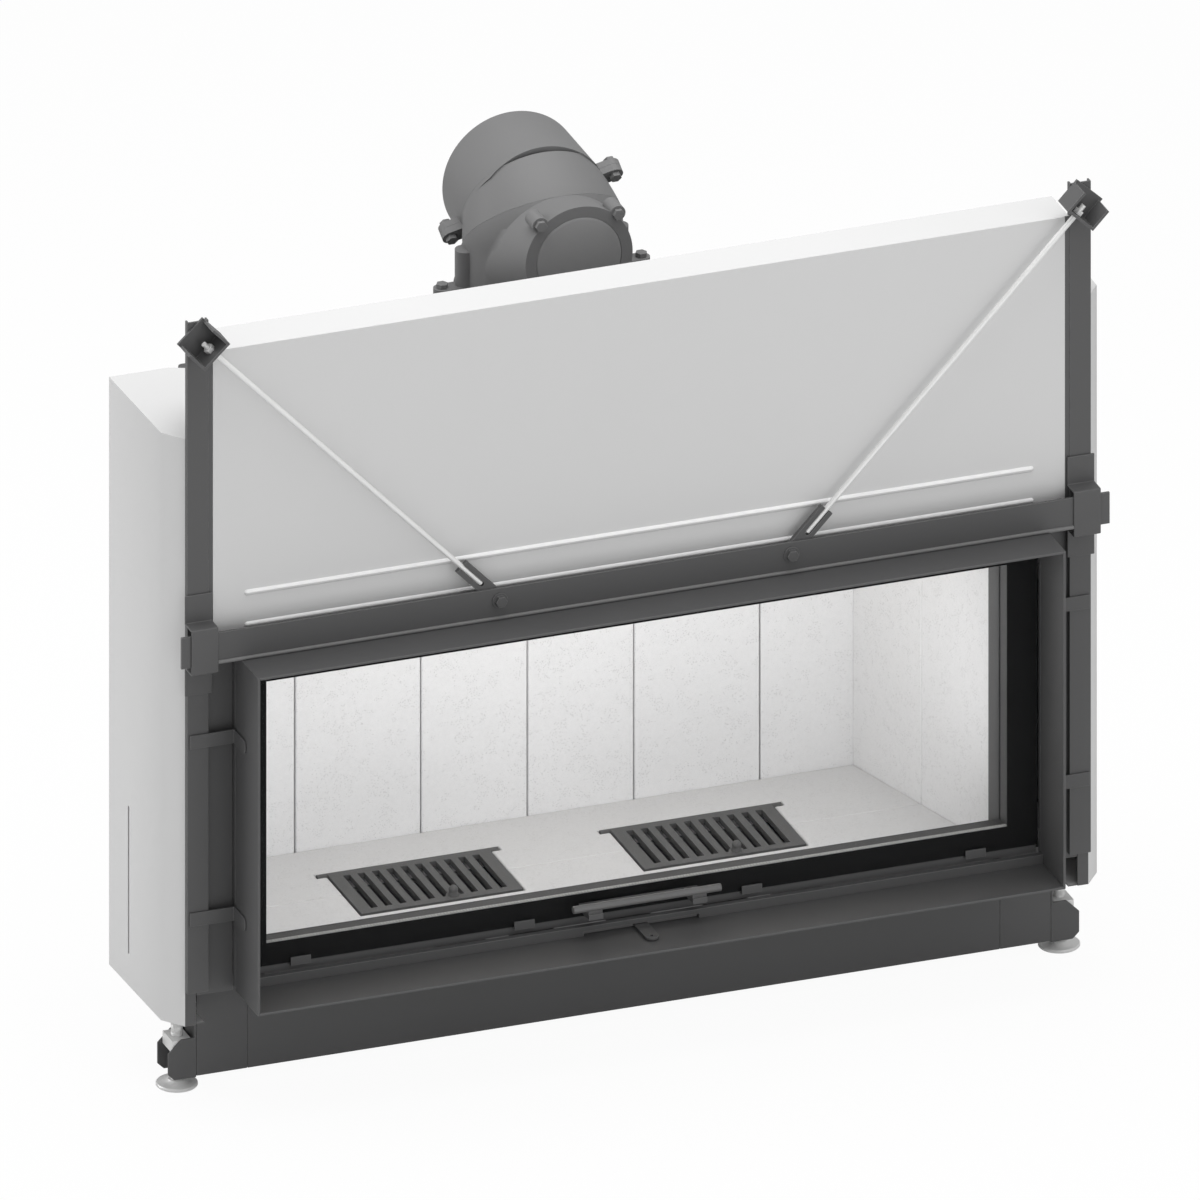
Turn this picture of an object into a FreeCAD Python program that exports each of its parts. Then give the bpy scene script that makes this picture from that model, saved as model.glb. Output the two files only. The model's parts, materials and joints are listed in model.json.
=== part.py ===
"""Wide fireplace insert with a lift-up glass door, side counterweights and a swivelling cast flue elbow.

Millimetres, +Z up, the door faces -Y.  Depths are counted from the front of the two posts;
the finished model is moved so that its origin is the middle of the floor under it.
"""
import FreeCAD, Part
import math
import os

V = FreeCAD.Vector

# Front sleeve that the wall facing butts against
SLEEVE_W = 1250.0
SLEEVE_H = 541.0
SLEEVE_BASE = 179.0
SLEEVE_SHEET = 4.0
SLEEVE_PROUD = 95.0
SLEEVE_X = SLEEVE_W / 2
SLEEVE_TOP = SLEEVE_BASE + SLEEVE_H
SLEEVE_FLOOR = SLEEVE_BASE + SLEEVE_SHEET

# Posts, front plates and the lintel rail
POST_OFFSET = 41.0
POST_W = 33.0
POST_D = 10.0
POST_T = 3.0
POST_LIFT = 5.6
POST_LIP = 7.0
LIP_BACK = 0.5
POST_TOP = 1260.0
POST_X = SLEEVE_X + POST_OFFSET
POST_OUT = POST_X + POST_W
POST_MID = POST_X + POST_W / 2
PLATE_T = 3.0
PLATE_W = 56.0
PLATE_GAP = 2.0
PLATE_DROP = 3.0
PLATE_H = 534.0
RAIL_H = 50.0
RAIL_T = 4.0
RAIL_PROUD = 27.0
RAIL_OVERHANG = 19.0
CLIP_W = 42.0
CLIP_T = 3.0
CLIP_TAB = 44.0
CLIP_ROOM = 10.0

# Hood that the door rises into
HOOD_SHEET = 2.0
HOOD_FRONT = 1.0
HOOD_BASE = SLEEVE_TOP - 8.0
HOOD_TOP = 1208.0
HOOD_D = 74.0
HOOD_X = POST_X - POST_LIP
HOOD_BACK_X = SLEEVE_X + 5.0
BEAD_R = 5.0
BEAD_HALF = SLEEVE_X - 19.0
BEAD_RISES = (50.0, 101.0)

# Tie rods with their forks and corner brackets
ROD_R = 4.0
ROD_FOOT = (225.5, SLEEVE_TOP + 31.0)
ROD_HEAD = (POST_X + 1.2, POST_TOP - 42.5)
FORK_W = 23.0
FORK_L = 83.0
FORK_SLOT = 48.0
FORK_T = 2 * ROD_R
SLOT_PLAY = 0.1
TIE_BOLT_R = 5.0
HEAD_R = 9.0
HEAD_T = 7.0
WASHER_R = 12.0
WASHER_T = 2.0
CORNER_W = 54.0
CORNER_L = 42.0
CORNER_WALL = 37.0
CORNER_T = 4.0

# Straps that hold the sleeve on the posts
STRAP_H = 22.0
STRAP_T = 3.0
STRAP_RISES = (125.0, 409.0)
STRAP_ARM = 45.0
STRAP_TIP = 9.0

# Lift door
GLASS_Y = 6.0
GLASS_T = 4.0
GLASS_SIDE_GAP = 5.0
GLASS_RISE = 27.0
GLASS_X = SLEEVE_X - GLASS_SIDE_GAP
GLASS_Z0 = SLEEVE_BASE + GLASS_RISE
GLASS_Z1 = SLEEVE_TOP - SLEEVE_SHEET
MASK_T = 1.0
MASK_SIDE = 47.0
MASK_BOTTOM = 35.5
MASK_TOP = 55.0
GASKET_W = 5.0
GASKET_T = 3.0
DOOR_FRAME_D = 29.0
DOOR_FRAME_T = 2.0
DOOR_FRAME_INSET = 2.0
DOOR_SKIRT = 15.0
SEAL_W = 10.0
SEAL_OFFSET = 8.0
SEAL_GAP = 0.3
GLASS_CLIP_W = 31.0
GLASS_CLIP_H = 10.0
GLASS_CLIP_T = 3.0
GLASS_CLIP_XS = (176.0, 522.0)
HANDLE_R = 5.75
HANDLE_L = 229.0
HANDLE_REACH = 38.0
HANDLE_RISE = 32.5
HANDLE_BLOCK_X = 80.5
HANDLE_BLOCK_W = 22.0
HANDLE_BLOCK_H = 9.0
HANDLE_DROP = 3.75
HANDLE_STRIP = 3.0
SHOE_H = 40.0
SHOE_RISES = (24.0, 446.0)
GUIDE_GAP = 0.3
GUIDE_W = 6.0
GUIDE_D = 17.0
GUIDE_INSET = 3.0

# Lift ropes, pulleys and counterweights
ROPE_R = 2.0
ROPE_X = SLEEVE_X + 21.0
PULLEY_R = 26.0
PULLEY_T = 12.0
PULLEY_RIM = 3.0
PULLEY_Y = 66.0
PULLEY_Z = 1150.0
SHAFT_R = 6.0
SHAFT_PLAY = 0.05
BRACKET_T = 3.0
BRACKET_W = 20.0
ANCHOR_H = 20.0
ANCHOR_RISE = 414.0
ANCHOR_D = 8.0
WEIGHT_T = 60.0
WEIGHT_D = 110.0
WEIGHT_H = 140.0
WEIGHT_TOP = 1030.0
WEIGHT_FRONT = 14.0
WEIGHT_EDGE = 4.0
HANGER_T = 6.0
HANGER_W = 30.0
HANGER_H = 40.0

# Side casings that hide the counterweights
CASE_SHEET = 2.0
CASE_BASE = 129.0
CASE_TOP = 1070.0
CASE_OUT = 29.0
CASE_D = 248.0
CASE_CHAMFER = 33.0
CASE_FLARE = 4.0
CASE_LIP = 17.0
CASE_RETURN = 92.0
CASE_TAIL_Y = 230.0
CASE_THROAT_Y = 80.0
CASE_ROPE_R = 6.0
CASE_SLIT = (171.0, 5.0, 180.0, 416.0)

# Firebox: steel shell, front tunnel and lining
FRONT_FLANGE_Y = 45.0
FIRE_SHEET = 4.0
FIRE_SIDE = 52.0
FIRE_SILL = 55.0
FIRE_HEAD = 30.0
FIRE_WALL_Y = 85.0
FIRE_DEPTH = 530.0
FIRE_TAPER = math.tan(math.radians(15.6))
FIRE_TOP = 932.0
FLANGE_WIDER = 23.0
FLANGE_RISE = 25.0
LEDGE_BACK = 56.0
APRON_Z = 215.0
RIB_W = 30.0
RIB_T = 4.0
RIB_XS = (-260.0, 0.0, 260.0)
PAN_Z = 124.0
PAN_T = 3.0
SIDE_BRICK = 24.0
BACK_BRICK = 36.0
FLOOR_BRICK = 27.0
INSULATION = 26.0
FIRE_BACK_Y = FIRE_DEPTH - FIRE_SHEET - INSULATION - BACK_BRICK
FIRE_BACK_X = SLEEVE_X - 121.0
BRICK_TOP = 760.0
BRICK_JOINT_Y = FIRE_BACK_Y - 161.0
BACK_JOINTS = tuple(FIRE_BACK_X * share for share in (-0.714, -0.327, 0.0, 0.327, 0.714))
BRICK_GROOVE = 1.5
BRICK_GAP = 1.8
BAFFLE_T = 26.0
BAFFLE_FRONT = FIRE_BACK_Y - 264.0
BAFFLE_PLAY = 2.0

# Grates and ash pans
GRATE_X = 219.0
GRATE_W = 250.0
GRATE_L = 146.0
GRATE_Y = FIRE_BACK_Y - 235.0
GRATE_R = 4.7
GRATE_SLOTS = 10
GRATE_SLOT_W = 11.0
GRATE_RIM = 14.0
GRATE_EAR = 15.0
GRATE_SIDE_GAP = 2.0
GRATE_REST = 0.3
KNOB_SHIFT = 22.0
KNOB_R = 7.0
KNOB_H = 9.0
LEDGE_Z = 19.0
LEDGE_W = 9.0
ASH_W = 212.0
ASH_D = 112.0
ASH_H = 57.0
ASH_SHEET = 2.0
ASH_RIM = 8.0
ASH_PLAY = 2.0

# Combustion air
SILL_H = 15.0
SILL_D = 10.0
LEVER_W = 21.0
LEVER_T = 4.0
LEVER_REACH = 62.0
LEVER_SLOT = 178.0
LEVER_LIFT = 1.5
SLIDE_HALF = 220.0
SLIDE_T = 3.0
SLIDE_Z = (168.0, 200.0)
SLIDE_GAP = 0.3
PORT_W = 70.0
PORT_EDGE = 4.0
SLIDE_RUN = 80.0
RAIL_LIP = 2.0
PORT_XS = (-150.0, 0.0, 150.0)
DUCT_HALF = 560.0
DUCT_SHEET = 3.0
DUCT_TOP = 203.5
CHAMBER_HALF = 85.0
CHAMBER_BACK = FIRE_DEPTH - 60.0
CHAMBER_BASE = 62.0
CHAMBER_SHEET = 3.0
SPIGOT_R = 62.5
SPIGOT_WALL = 1.5
SPIGOT_L = 45.0
SPIGOT_Y = CHAMBER_BACK - 170.0

# Plinth and adjustable feet
PLINTH_Y = 64.0
PLINTH_T = 3.0
PLINTH_BASE = 20.0
PLINTH_MID = 582.0
PLINTH_END = POST_X - 5.0
PLINTH_END_TOP = 175.0
FOOT_R = 30.75
FOOT_T = 5.0
SPINDLE_R = 9.0
SPINDLE_TOP = 116.0
FOOT_X = POST_MID
FOOT_Y = 88.5
REAR_FOOT_X = FIRE_BACK_X - 84.0
REAR_FOOT_Y = FIRE_DEPTH - 100.0
CHEEK_T = 3.0
CHEEK_SPAN = 47.0
CHEEK_OUT = POST_OUT + 6.0
CHEEK_Z = (18.0, 82.0)
NUT_W = 30.0
NUT_Z = (60.0, 80.0)
NUT_PLAY = 0.05

# Flue: base ring, swivelling dome, swivelling elbow with its collar
FLUE_Y = FIRE_DEPTH - 124.0
FLUE_R = 118.5
FLUE_WALL = 10.5
BASE_RING_TOP = 1024.0
FLUE_FLANGE_R = 128.0
FLUE_FLANGE_T = 8.0
TURN_GAP = 0.3
DOME_Z = 1124.0
HATCH_Z = 1139.0
HATCH_R = 83.0
HATCH_BORE = 60.0
HATCH_LID_R = 66.0
HATCH_LID_T = 8.0
HATCH_FACE = FLUE_Y - 156.0
HATCH_BOLT = (60.0, 63.0)
HATCH_FALL = 65.5
LUG_X = 154.0
LUG_R = 13.0
LUG_TOP = 1050.0
BOSS_R = 12.0
BOSS_L = 32.0
SIDE_BOSS_R = 15.0
SIDE_BOSS_TOP = 1106.0
THROAT_R = 76.0
NECK_MID = (FLUE_Y + 22.0, 1140.0, 112.0)
NECK_END = (FLUE_Y + 41.0, 1153.0, 104.0)
NECK_WALL = 8.0
LIP_T = 4.0
LIP_L = 6.0
COLLAR_TILT = 28.0
COLLAR_R = 106.0
COLLAR_Z = 1144.0
COLLAR_BORE = 94.0
SOCKET_R = 96.0
SOCKET_L = 32.0
OUTLET_RIM = FLUE_Y + 129.0
EAR_X = 127.0
EAR_R = 13.0
EAR_ROOT = 102.0
EAR_T = 11.0
EAR_ROLL = math.radians(21.0)

SHIFT = V(0, -(OUTLET_RIM - SLEEVE_PROUD) / 2, 0)


def face(points):
    """Flat face inside a closed polygon of points."""
    return Part.Face(Part.makePolygon(points + points[:1]))


def box(x0, x1, y0, y1, z0, z1):
    """Block between two opposite corners."""
    return Part.makeBox(x1 - x0, y1 - y0, z1 - z0, V(x0, y0, z0))


def plan_prism(points, z0, z1):
    """Outline in plan, given as x and y, raised from z0 to z1."""
    return face([V(x, y, z0) for x, y in points]).extrude(V(0, 0, z1 - z0))


def side_prism(points, x0, x1):
    """Outline seen from the side, given as y and z, drawn out from x0 to x1."""
    return face([V(x0, y, z) for y, z in points]).extrude(V(x1 - x0, 0, 0))


def front_prism(points, y0, y1):
    """Outline seen from the front, given as x and z, drawn out from y0 to y1."""
    return face([V(x, y0, z) for x, z in points]).extrude(V(0, y1 - y0, 0))


def rod(start, end, radius):
    """Round bar between two points."""
    return Part.makeCylinder(radius, (end - start).Length, start, end - start)


def hexagon(base, axis, radius, length):
    """Six-sided bar from a base point along an axis."""
    turn = FreeCAD.Rotation(V(0, 0, 1), axis)
    corners = [V(radius, 0, 0), V(radius / 2, radius * math.sqrt(0.75), 0)]
    corners += [V(-radius / 2, radius * math.sqrt(0.75), 0)]
    corners += [corner * -1 for corner in corners]
    return face([base + turn.multVec(corner) for corner in corners]).extrude(axis * (length / axis.Length))


def mirrored(shape):
    """Copy on the other side of the middle plane."""
    return shape.mirror(V(0, 0, 0), V(1, 0, 0))


def both(shapes):
    """Shapes of the right side with their copies on the left."""
    return shapes + [mirrored(shape) for shape in shapes]


def mitred_ring(outer, inner, y0, y1):
    """Four mitred flat bars round an opening; each limit is half width, bottom and top."""
    ox, o0, o1 = outer
    ix, i0, i1 = inner
    right = front_prism([(ox, o0), (ox, o1), (ix, i1), (ix, i0)], y0, y1)
    bottom = front_prism([(-ox, o0), (ox, o0), (ix, i0), (-ix, i0)], y0, y1)
    top = front_prism([(-ox, o1), (ox, o1), (ix, i1), (-ix, i1)], y0, y1)
    return both([right]) + [bottom, top]


def grown(ring, amount):
    """Ring limit moved outwards by an amount."""
    half, bottom, top = ring
    return half + amount, bottom - amount, top + amount


def thickened(points, sheet):
    """Outline of a folded sheet whose outer face follows the points, with its thickness on their left."""
    normals = []
    for (xa, ya), (xb, yb) in zip(points, points[1:]):
        length = math.hypot(xb - xa, yb - ya)
        normals.append(((ya - yb) / length, (xb - xa) / length))
    inner = []
    for k, (x, y) in enumerate(points):
        before, after = normals[max(k - 1, 0)], normals[min(k, len(normals) - 1)]
        share = sheet / (1 + before[0] * after[0] + before[1] * after[1])
        inner.append((x + (before[0] + after[0]) * share, y + (before[1] + after[1]) * share))
    return inner


def round_edges(shape, radius, chosen):
    """Shape with a fillet on every edge that the test picks."""
    return shape.makeFillet(radius, [edge for edge in shape.Edges if chosen(edge)])


def upright(edge):
    """True for a straight edge along Z."""
    span = edge.BoundBox
    return span.XLength < 1e-6 and span.YLength < 1e-6


# Front: sleeve, posts, rail, hood and braces

GLASS_BACK = GLASS_Y + GLASS_T
PLATE_BACK = POST_D + PLATE_T
HOOD_BACK = HOOD_FRONT + HOOD_D
HOOD_CEILING = HOOD_TOP - HOOD_SHEET
RAIL_BACK = -RAIL_PROUD + RAIL_T
ROD_Y = RAIL_BACK + ROD_R
TIE_LENGTH = math.hypot(ROD_HEAD[0] - ROD_FOOT[0], ROD_HEAD[1] - ROD_FOOT[1])
TIE_COS = (ROD_HEAD[0] - ROD_FOOT[0]) / TIE_LENGTH
TIE_SIN = (ROD_HEAD[1] - ROD_FOOT[1]) / TIE_LENGTH


def front_frame():
    outer = (SLEEVE_X, SLEEVE_BASE, SLEEVE_TOP)
    tail = box(SLEEVE_X - SLEEVE_SHEET, SLEEVE_X, 0, POST_D, SLEEVE_FLOOR, HOOD_BASE)
    return mitred_ring(outer, grown(outer, -SLEEVE_SHEET), -SLEEVE_PROUD, 0) + both([tail])


def posts():
    x0, x1, t = POST_X, POST_OUT, POST_T
    channel = [(x0, 0), (x1, 0), (x1, POST_D), (x1 - t, POST_D)]
    channel += [(x1 - t, t), (x0 + t, t), (x0 + t, POST_D), (x0, POST_D)]
    lip = box(HOOD_X, x0, HOOD_FRONT + LIP_BACK, HOOD_FRONT + HOOD_SHEET, HOOD_BASE, HOOD_TOP)
    return both([plan_prism(channel, SLEEVE_BASE + POST_LIFT, POST_TOP).fuse(lip)])


def front_plates():
    z0 = SLEEVE_BASE - PLATE_DROP
    return both([box(SLEEVE_X, SLEEVE_X + PLATE_W, POST_D, PLATE_BACK, z0, z0 + PLATE_H)])


def lintel_rail():
    half, foot = POST_OUT + RAIL_OVERHANG, POST_MID - CLIP_W / 2 - SLOT_PLAY
    web = box(-half, half, -RAIL_PROUD, RAIL_BACK, SLEEVE_TOP, SLEEVE_TOP + RAIL_H)
    rail = web.fuse(box(-foot, foot, -RAIL_PROUD, 0, SLEEVE_TOP, SLEEVE_TOP + RAIL_T)).removeSplitter()
    hole = rod(V(ROD_FOOT[0], -RAIL_PROUD, ROD_FOOT[1]), V(ROD_FOOT[0], RAIL_BACK, ROD_FOOT[1]),
               TIE_BOLT_R + SLOT_PLAY)
    return [rail.cut(hole).cut(mirrored(hole))]


def rail_clips():
    low = SLEEVE_TOP - CLIP_ROOM - CLIP_T
    high = SLEEVE_TOP + RAIL_H + CLIP_ROOM
    t, front = CLIP_T, -RAIL_PROUD - CLIP_T
    hat = [(0, low - CLIP_TAB), (-t, low - CLIP_TAB), (-t, low), (front, low), (front, high), (-t, high)]
    hat += [(-t, high + CLIP_TAB), (0, high + CLIP_TAB), (0, high - t), (front + t, high - t)]
    hat += [(front + t, low + t), (0, low + t)]
    clip = side_prism(hat, POST_MID - CLIP_W / 2, POST_MID + CLIP_W / 2)
    return both([round_edges(clip, CLIP_T * 0.8, lambda edge: edge.BoundBox.YMax < front + 0.01
                             and edge.BoundBox.XLength > CLIP_W / 2)])


def hood_panel():
    back = HOOD_FRONT + HOOD_SHEET
    panel = box(-HOOD_X, HOOD_X, HOOD_FRONT, back, HOOD_BASE, HOOD_TOP)
    for rise in BEAD_RISES:
        z = HOOD_BASE + rise
        bar = rod(V(-BEAD_HALF, back, z), V(BEAD_HALF, back, z), BEAD_R)
        ends = both([Part.makeSphere(BEAD_R, V(BEAD_HALF, back, z))])
        bead = bar.fuse(ends).common(box(-HOOD_X, HOOD_X, -BEAD_R, back, z - BEAD_R, z + BEAD_R))
        panel = panel.fuse(bead)
    return [panel.removeSplitter()]


def hood_shell():
    front = HOOD_FRONT + HOOD_SHEET
    roof = box(-POST_X, POST_X, front, HOOD_BACK, HOOD_CEILING, HOOD_TOP)
    rear = box(-HOOD_BACK_X, HOOD_BACK_X, HOOD_BACK - HOOD_SHEET, HOOD_BACK, GLASS_Z1, HOOD_CEILING)
    end = box(POST_X - HOOD_SHEET, POST_X, front, HOOD_BACK, GLASS_Z1, HOOD_CEILING)
    return both([end]) + [roof, rear]


def on_tie(along, across, y):
    """Point beside the right tie rod: distance along it from its bolt, across it, and depth."""
    return V(ROD_FOOT[0] + TIE_COS * along - TIE_SIN * across, y,
             ROD_FOOT[1] + TIE_SIN * along + TIE_COS * across)


def tie_block(along, across, y0, y1):
    """Block square to the right tie rod."""
    corners = [(along[0], across[0]), (along[1], across[0]), (along[1], across[1]), (along[0], across[1])]
    return face([on_tie(s, v, y0) for s, v in corners]).extrude(V(0, y1 - y0, 0))


def tie_rods():
    start = FORK_L - FORK_SLOT + ROD_R
    end = TIE_LENGTH + CORNER_T + 4 * ROD_R
    return both([rod(on_tie(start, 0, ROD_Y), on_tie(end, 0, ROD_Y), ROD_R)])


def tie_forks():
    y0, y1 = RAIL_BACK, RAIL_BACK + FORK_T
    slot_r = ROD_R + SLOT_PLAY
    fork = tie_block((0, FORK_L), (-FORK_W / 2, FORK_W / 2), y0, y1)
    fork = fork.fuse(rod(on_tie(0, 0, y0), on_tie(0, 0, y1), FORK_W / 2))
    root = FORK_L - FORK_SLOT + slot_r
    slot = tie_block((root, FORK_L), (-slot_r, slot_r), y0, y1)
    slot = slot.fuse(rod(on_tie(root, 0, y0), on_tie(root, 0, y1), slot_r))
    hole = rod(on_tie(0, 0, y0), on_tie(0, 0, y1), TIE_BOLT_R + SLOT_PLAY)
    return both([fork.cut(slot).cut(hole).removeSplitter()])


def corner_brackets():
    half, t = CORNER_W / 2, CORNER_T
    wall_end = TIE_LENGTH + t
    front = -CORNER_WALL - t
    bracket = tie_block((TIE_LENGTH, TIE_LENGTH + CORNER_L), (-half, half), -t, 0)
    bracket = bracket.fuse(tie_block((TIE_LENGTH, wall_end), (-half, half), front, -t))
    for across in ((-half, t - half), (half - t, half)):
        bracket = bracket.fuse(tie_block((wall_end, TIE_LENGTH + CORNER_WALL), across, front, -t))
    hole = rod(on_tie(TIE_LENGTH, 0, ROD_Y), on_tie(wall_end, 0, ROD_Y), ROD_R + SLOT_PLAY)
    return both([bracket.cut(hole).removeSplitter()])


def brace_fasteners():
    out = V(0, -1, 0)
    seat = V(ROD_FOOT[0], -RAIL_PROUD, ROD_FOOT[1])
    back = V(ROD_FOOT[0], RAIL_BACK + FORK_T, ROD_FOOT[1])
    washer = rod(seat, seat + out * WASHER_T, WASHER_R)
    head = hexagon(seat + out * WASHER_T, out, HEAD_R, HEAD_T)
    nut = hexagon(back, out * -1, HEAD_R, HEAD_T)
    bolt = washer.fuse([head, rod(seat, back, TIE_BOLT_R), nut])
    base = TIE_LENGTH + CORNER_T
    along = on_tie(1, 0, 0) - on_tie(0, 0, 0)
    rod_nut = hexagon(on_tie(base, 0, ROD_Y), along, 2 * ROD_R, HEAD_T)
    rod_nut = rod_nut.cut(rod(on_tie(base, 0, ROD_Y), on_tie(base + HEAD_T, 0, ROD_Y), ROD_R))
    return both([bolt, rod_nut])


def frame_straps():
    x0, x1 = SLEEVE_X, POST_OUT - STRAP_T
    tip = -STRAP_T - STRAP_ARM
    bend = [(x1, -STRAP_T), (x1, 0), (x0, 0), (x0, tip), (x0 + STRAP_T, tip), (x0 + STRAP_T, -STRAP_T)]
    straps = []
    for rise in STRAP_RISES:
        z = SLEEVE_BASE + rise
        strap = plan_prism(bend, z - STRAP_H / 2, z + STRAP_H / 2)
        straps.append(round_edges(strap, STRAP_TIP, lambda edge: edge.BoundBox.YMax < tip + 0.01
                                  and edge.BoundBox.ZLength < 0.01))
    return both(straps)


# Lift door with its guides, ropes and counterweights

MASK_BACK = GLASS_BACK + MASK_T
DOOR_BACK = MASK_BACK + DOOR_FRAME_D
GLASS_EDGE = (GLASS_X, GLASS_Z0, GLASS_Z1)
WINDOW = (GLASS_X - MASK_SIDE, GLASS_Z0 + MASK_BOTTOM, GLASS_Z1 - MASK_TOP)
DOOR_EDGE = grown(GLASS_EDGE, -DOOR_FRAME_INSET)
FIRE_OPENING = (SLEEVE_X - FIRE_SIDE, SLEEVE_BASE + FIRE_SILL, SLEEVE_TOP - FIRE_HEAD)
GUIDE_X = SLEEVE_X + GUIDE_INSET
ROPE_FRONT_Y = PULLEY_Y - PULLEY_R
ROPE_REAR_Y = PULLEY_Y + PULLEY_R
ANCHOR_TOP = GLASS_Z0 + ANCHOR_RISE + ANCHOR_H
HANDLE_Y = GLASS_Y - HANDLE_REACH
HANDLE_Z = GLASS_Z0 + HANDLE_RISE


def door_glass():
    return [box(-GLASS_X, GLASS_X, GLASS_Y, GLASS_BACK, GLASS_Z0, GLASS_Z1)]


def glass_mask():
    return mitred_ring(GLASS_EDGE, WINDOW, GLASS_BACK, MASK_BACK)


def door_frame():
    t = DOOR_FRAME_T
    bars = mitred_ring(DOOR_EDGE, WINDOW, MASK_BACK, MASK_BACK + t)
    bars += mitred_ring(DOOR_EDGE, WINDOW, DOOR_BACK - t, DOOR_BACK)
    bars += mitred_ring(DOOR_EDGE, grown(DOOR_EDGE, -t), MASK_BACK + t, DOOR_BACK - t)
    bars += mitred_ring(grown(WINDOW, t), WINDOW, MASK_BACK + t, DOOR_BACK - t)
    half, low = DOOR_EDGE[0], DOOR_EDGE[1]
    skirt = box(-half, half, MASK_BACK, MASK_BACK + t, low - DOOR_SKIRT, low)
    return bars + [skirt.cut(Part.makeCompound(glass_clips()))]


def door_seals():
    """Rope seal round the firebox opening, and the strip that the glass's lower edge beds on."""
    inner = grown(FIRE_OPENING, SEAL_OFFSET)
    half, bottom, _ = WINDOW
    bed = box(-half, half, GLASS_BACK, MASK_BACK + GASKET_W, bottom, bottom + GASKET_T)
    return mitred_ring(grown(inner, SEAL_W), inner, DOOR_BACK, FRONT_FLANGE_Y - SEAL_GAP) + [bed]


def glass_clips():
    t, low = GLASS_CLIP_T, GLASS_Z0 - GLASS_CLIP_T
    hook = [(GLASS_Y - t, low), (MASK_BACK + t, low), (MASK_BACK + t, DOOR_EDGE[1]), (MASK_BACK, DOOR_EDGE[1])]
    hook += [(MASK_BACK, GLASS_Z0), (GLASS_Y, GLASS_Z0), (GLASS_Y, GLASS_Z0 + GLASS_CLIP_H)]
    hook += [(GLASS_Y - t, GLASS_Z0 + GLASS_CLIP_H)]
    return both([side_prism(hook, x - GLASS_CLIP_W / 2, x + GLASS_CLIP_W / 2) for x in GLASS_CLIP_XS])


def handle_bar():
    half = HANDLE_L / 2
    bar = rod(V(-half, HANDLE_Y, HANDLE_Z), V(half, HANDLE_Y, HANDLE_Z), HANDLE_R)
    return [bar.makeFillet(HANDLE_R / 4, [edge for edge in bar.Edges if edge.BoundBox.XLength < 1e-6])]


def handle_brackets():
    base = HANDLE_Z - HANDLE_R - HANDLE_DROP - HANDLE_BLOCK_H
    top = base + HANDLE_BLOCK_H
    nose, neck = HANDLE_Y - HANDLE_R, HANDLE_R / 2
    arm = [(GLASS_Y, base), (GLASS_Y, top), (HANDLE_Y + neck, top), (HANDLE_Y + neck, HANDLE_Z)]
    arm += [(HANDLE_Y - neck, HANDLE_Z), (HANDLE_Y - neck, top), (nose, top), (nose, base)]
    x0, x1 = HANDLE_BLOCK_X - HANDLE_BLOCK_W / 2, HANDLE_BLOCK_X + HANDLE_BLOCK_W / 2
    blocks = both([side_prism(arm, x0, x1)])
    strip = box(-x0, x0, GLASS_Y - HANDLE_STRIP, GLASS_Y, base, top)
    bar = rod(V(-x1, HANDLE_Y, HANDLE_Z), V(x1, HANDLE_Y, HANDLE_Z), HANDLE_R)
    return [strip.fuse(blocks).cut(bar).removeSplitter()]


def rope_anchors():
    y0, y1 = ROPE_FRONT_Y - ANCHOR_D, ROPE_FRONT_Y + ROPE_R + 1
    return both([box(DOOR_EDGE[0], ROPE_X + 3 * ROPE_R, y0, y1, ANCHOR_TOP - ANCHOR_H, ANCHOR_TOP)])


def guide_shoes():
    y0, y1 = PLATE_BACK + 1, PLATE_BACK + GUIDE_D
    shoes = []
    for rise in SHOE_RISES:
        z = GLASS_Z0 + rise
        shoes.append(box(DOOR_EDGE[0], GUIDE_X - GUIDE_GAP, y0, y1, z, z + SHOE_H))
    return both(shoes)


def pulley_cheeks():
    """Pair of plates that hang from the hood's roof and carry the right pulley."""
    cheeks = []
    for x in (ROPE_X - PULLEY_T, ROPE_X + PULLEY_T - BRACKET_T):
        cheek = box(x, x + BRACKET_T, PULLEY_Y - BRACKET_W / 2, PULLEY_Y + BRACKET_W / 2,
                    PULLEY_Z - 2 * SHAFT_R, HOOD_CEILING)
        bore = rod(V(x, PULLEY_Y, PULLEY_Z), V(x + BRACKET_T, PULLEY_Y, PULLEY_Z), SHAFT_R + SHAFT_PLAY)
        cheeks.append(cheek.cut(bore))
    return cheeks


def lift_guides():
    bar = box(GUIDE_X, GUIDE_X + GUIDE_W, PLATE_BACK, PLATE_BACK + GUIDE_D, GLASS_Z0, HOOD_CEILING)
    return both([bar] + pulley_cheeks())


def lift_pulleys():
    half, rim = PULLEY_T / 2, PULLEY_R + PULLEY_RIM - ROPE_R / 2
    groove, mouth = PULLEY_R - ROPE_R - GUIDE_GAP, ROPE_R + 2 * GUIDE_GAP
    section = [(-half, SHAFT_R), (half, SHAFT_R), (half, rim), (half - 1, rim), (mouth, groove)]
    section += [(-mouth, groove), (1 - half, rim), (-half, rim)]
    wheel = face([V(ROPE_X + x, PULLEY_Y, PULLEY_Z + r) for x, r in section])
    return both([wheel.revolve(V(0, PULLEY_Y, PULLEY_Z), V(1, 0, 0), 360)])


def sync_shaft():
    half = ROPE_X + PULLEY_T
    return [rod(V(-half, PULLEY_Y, PULLEY_Z), V(half, PULLEY_Y, PULLEY_Z), SHAFT_R)]


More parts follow.
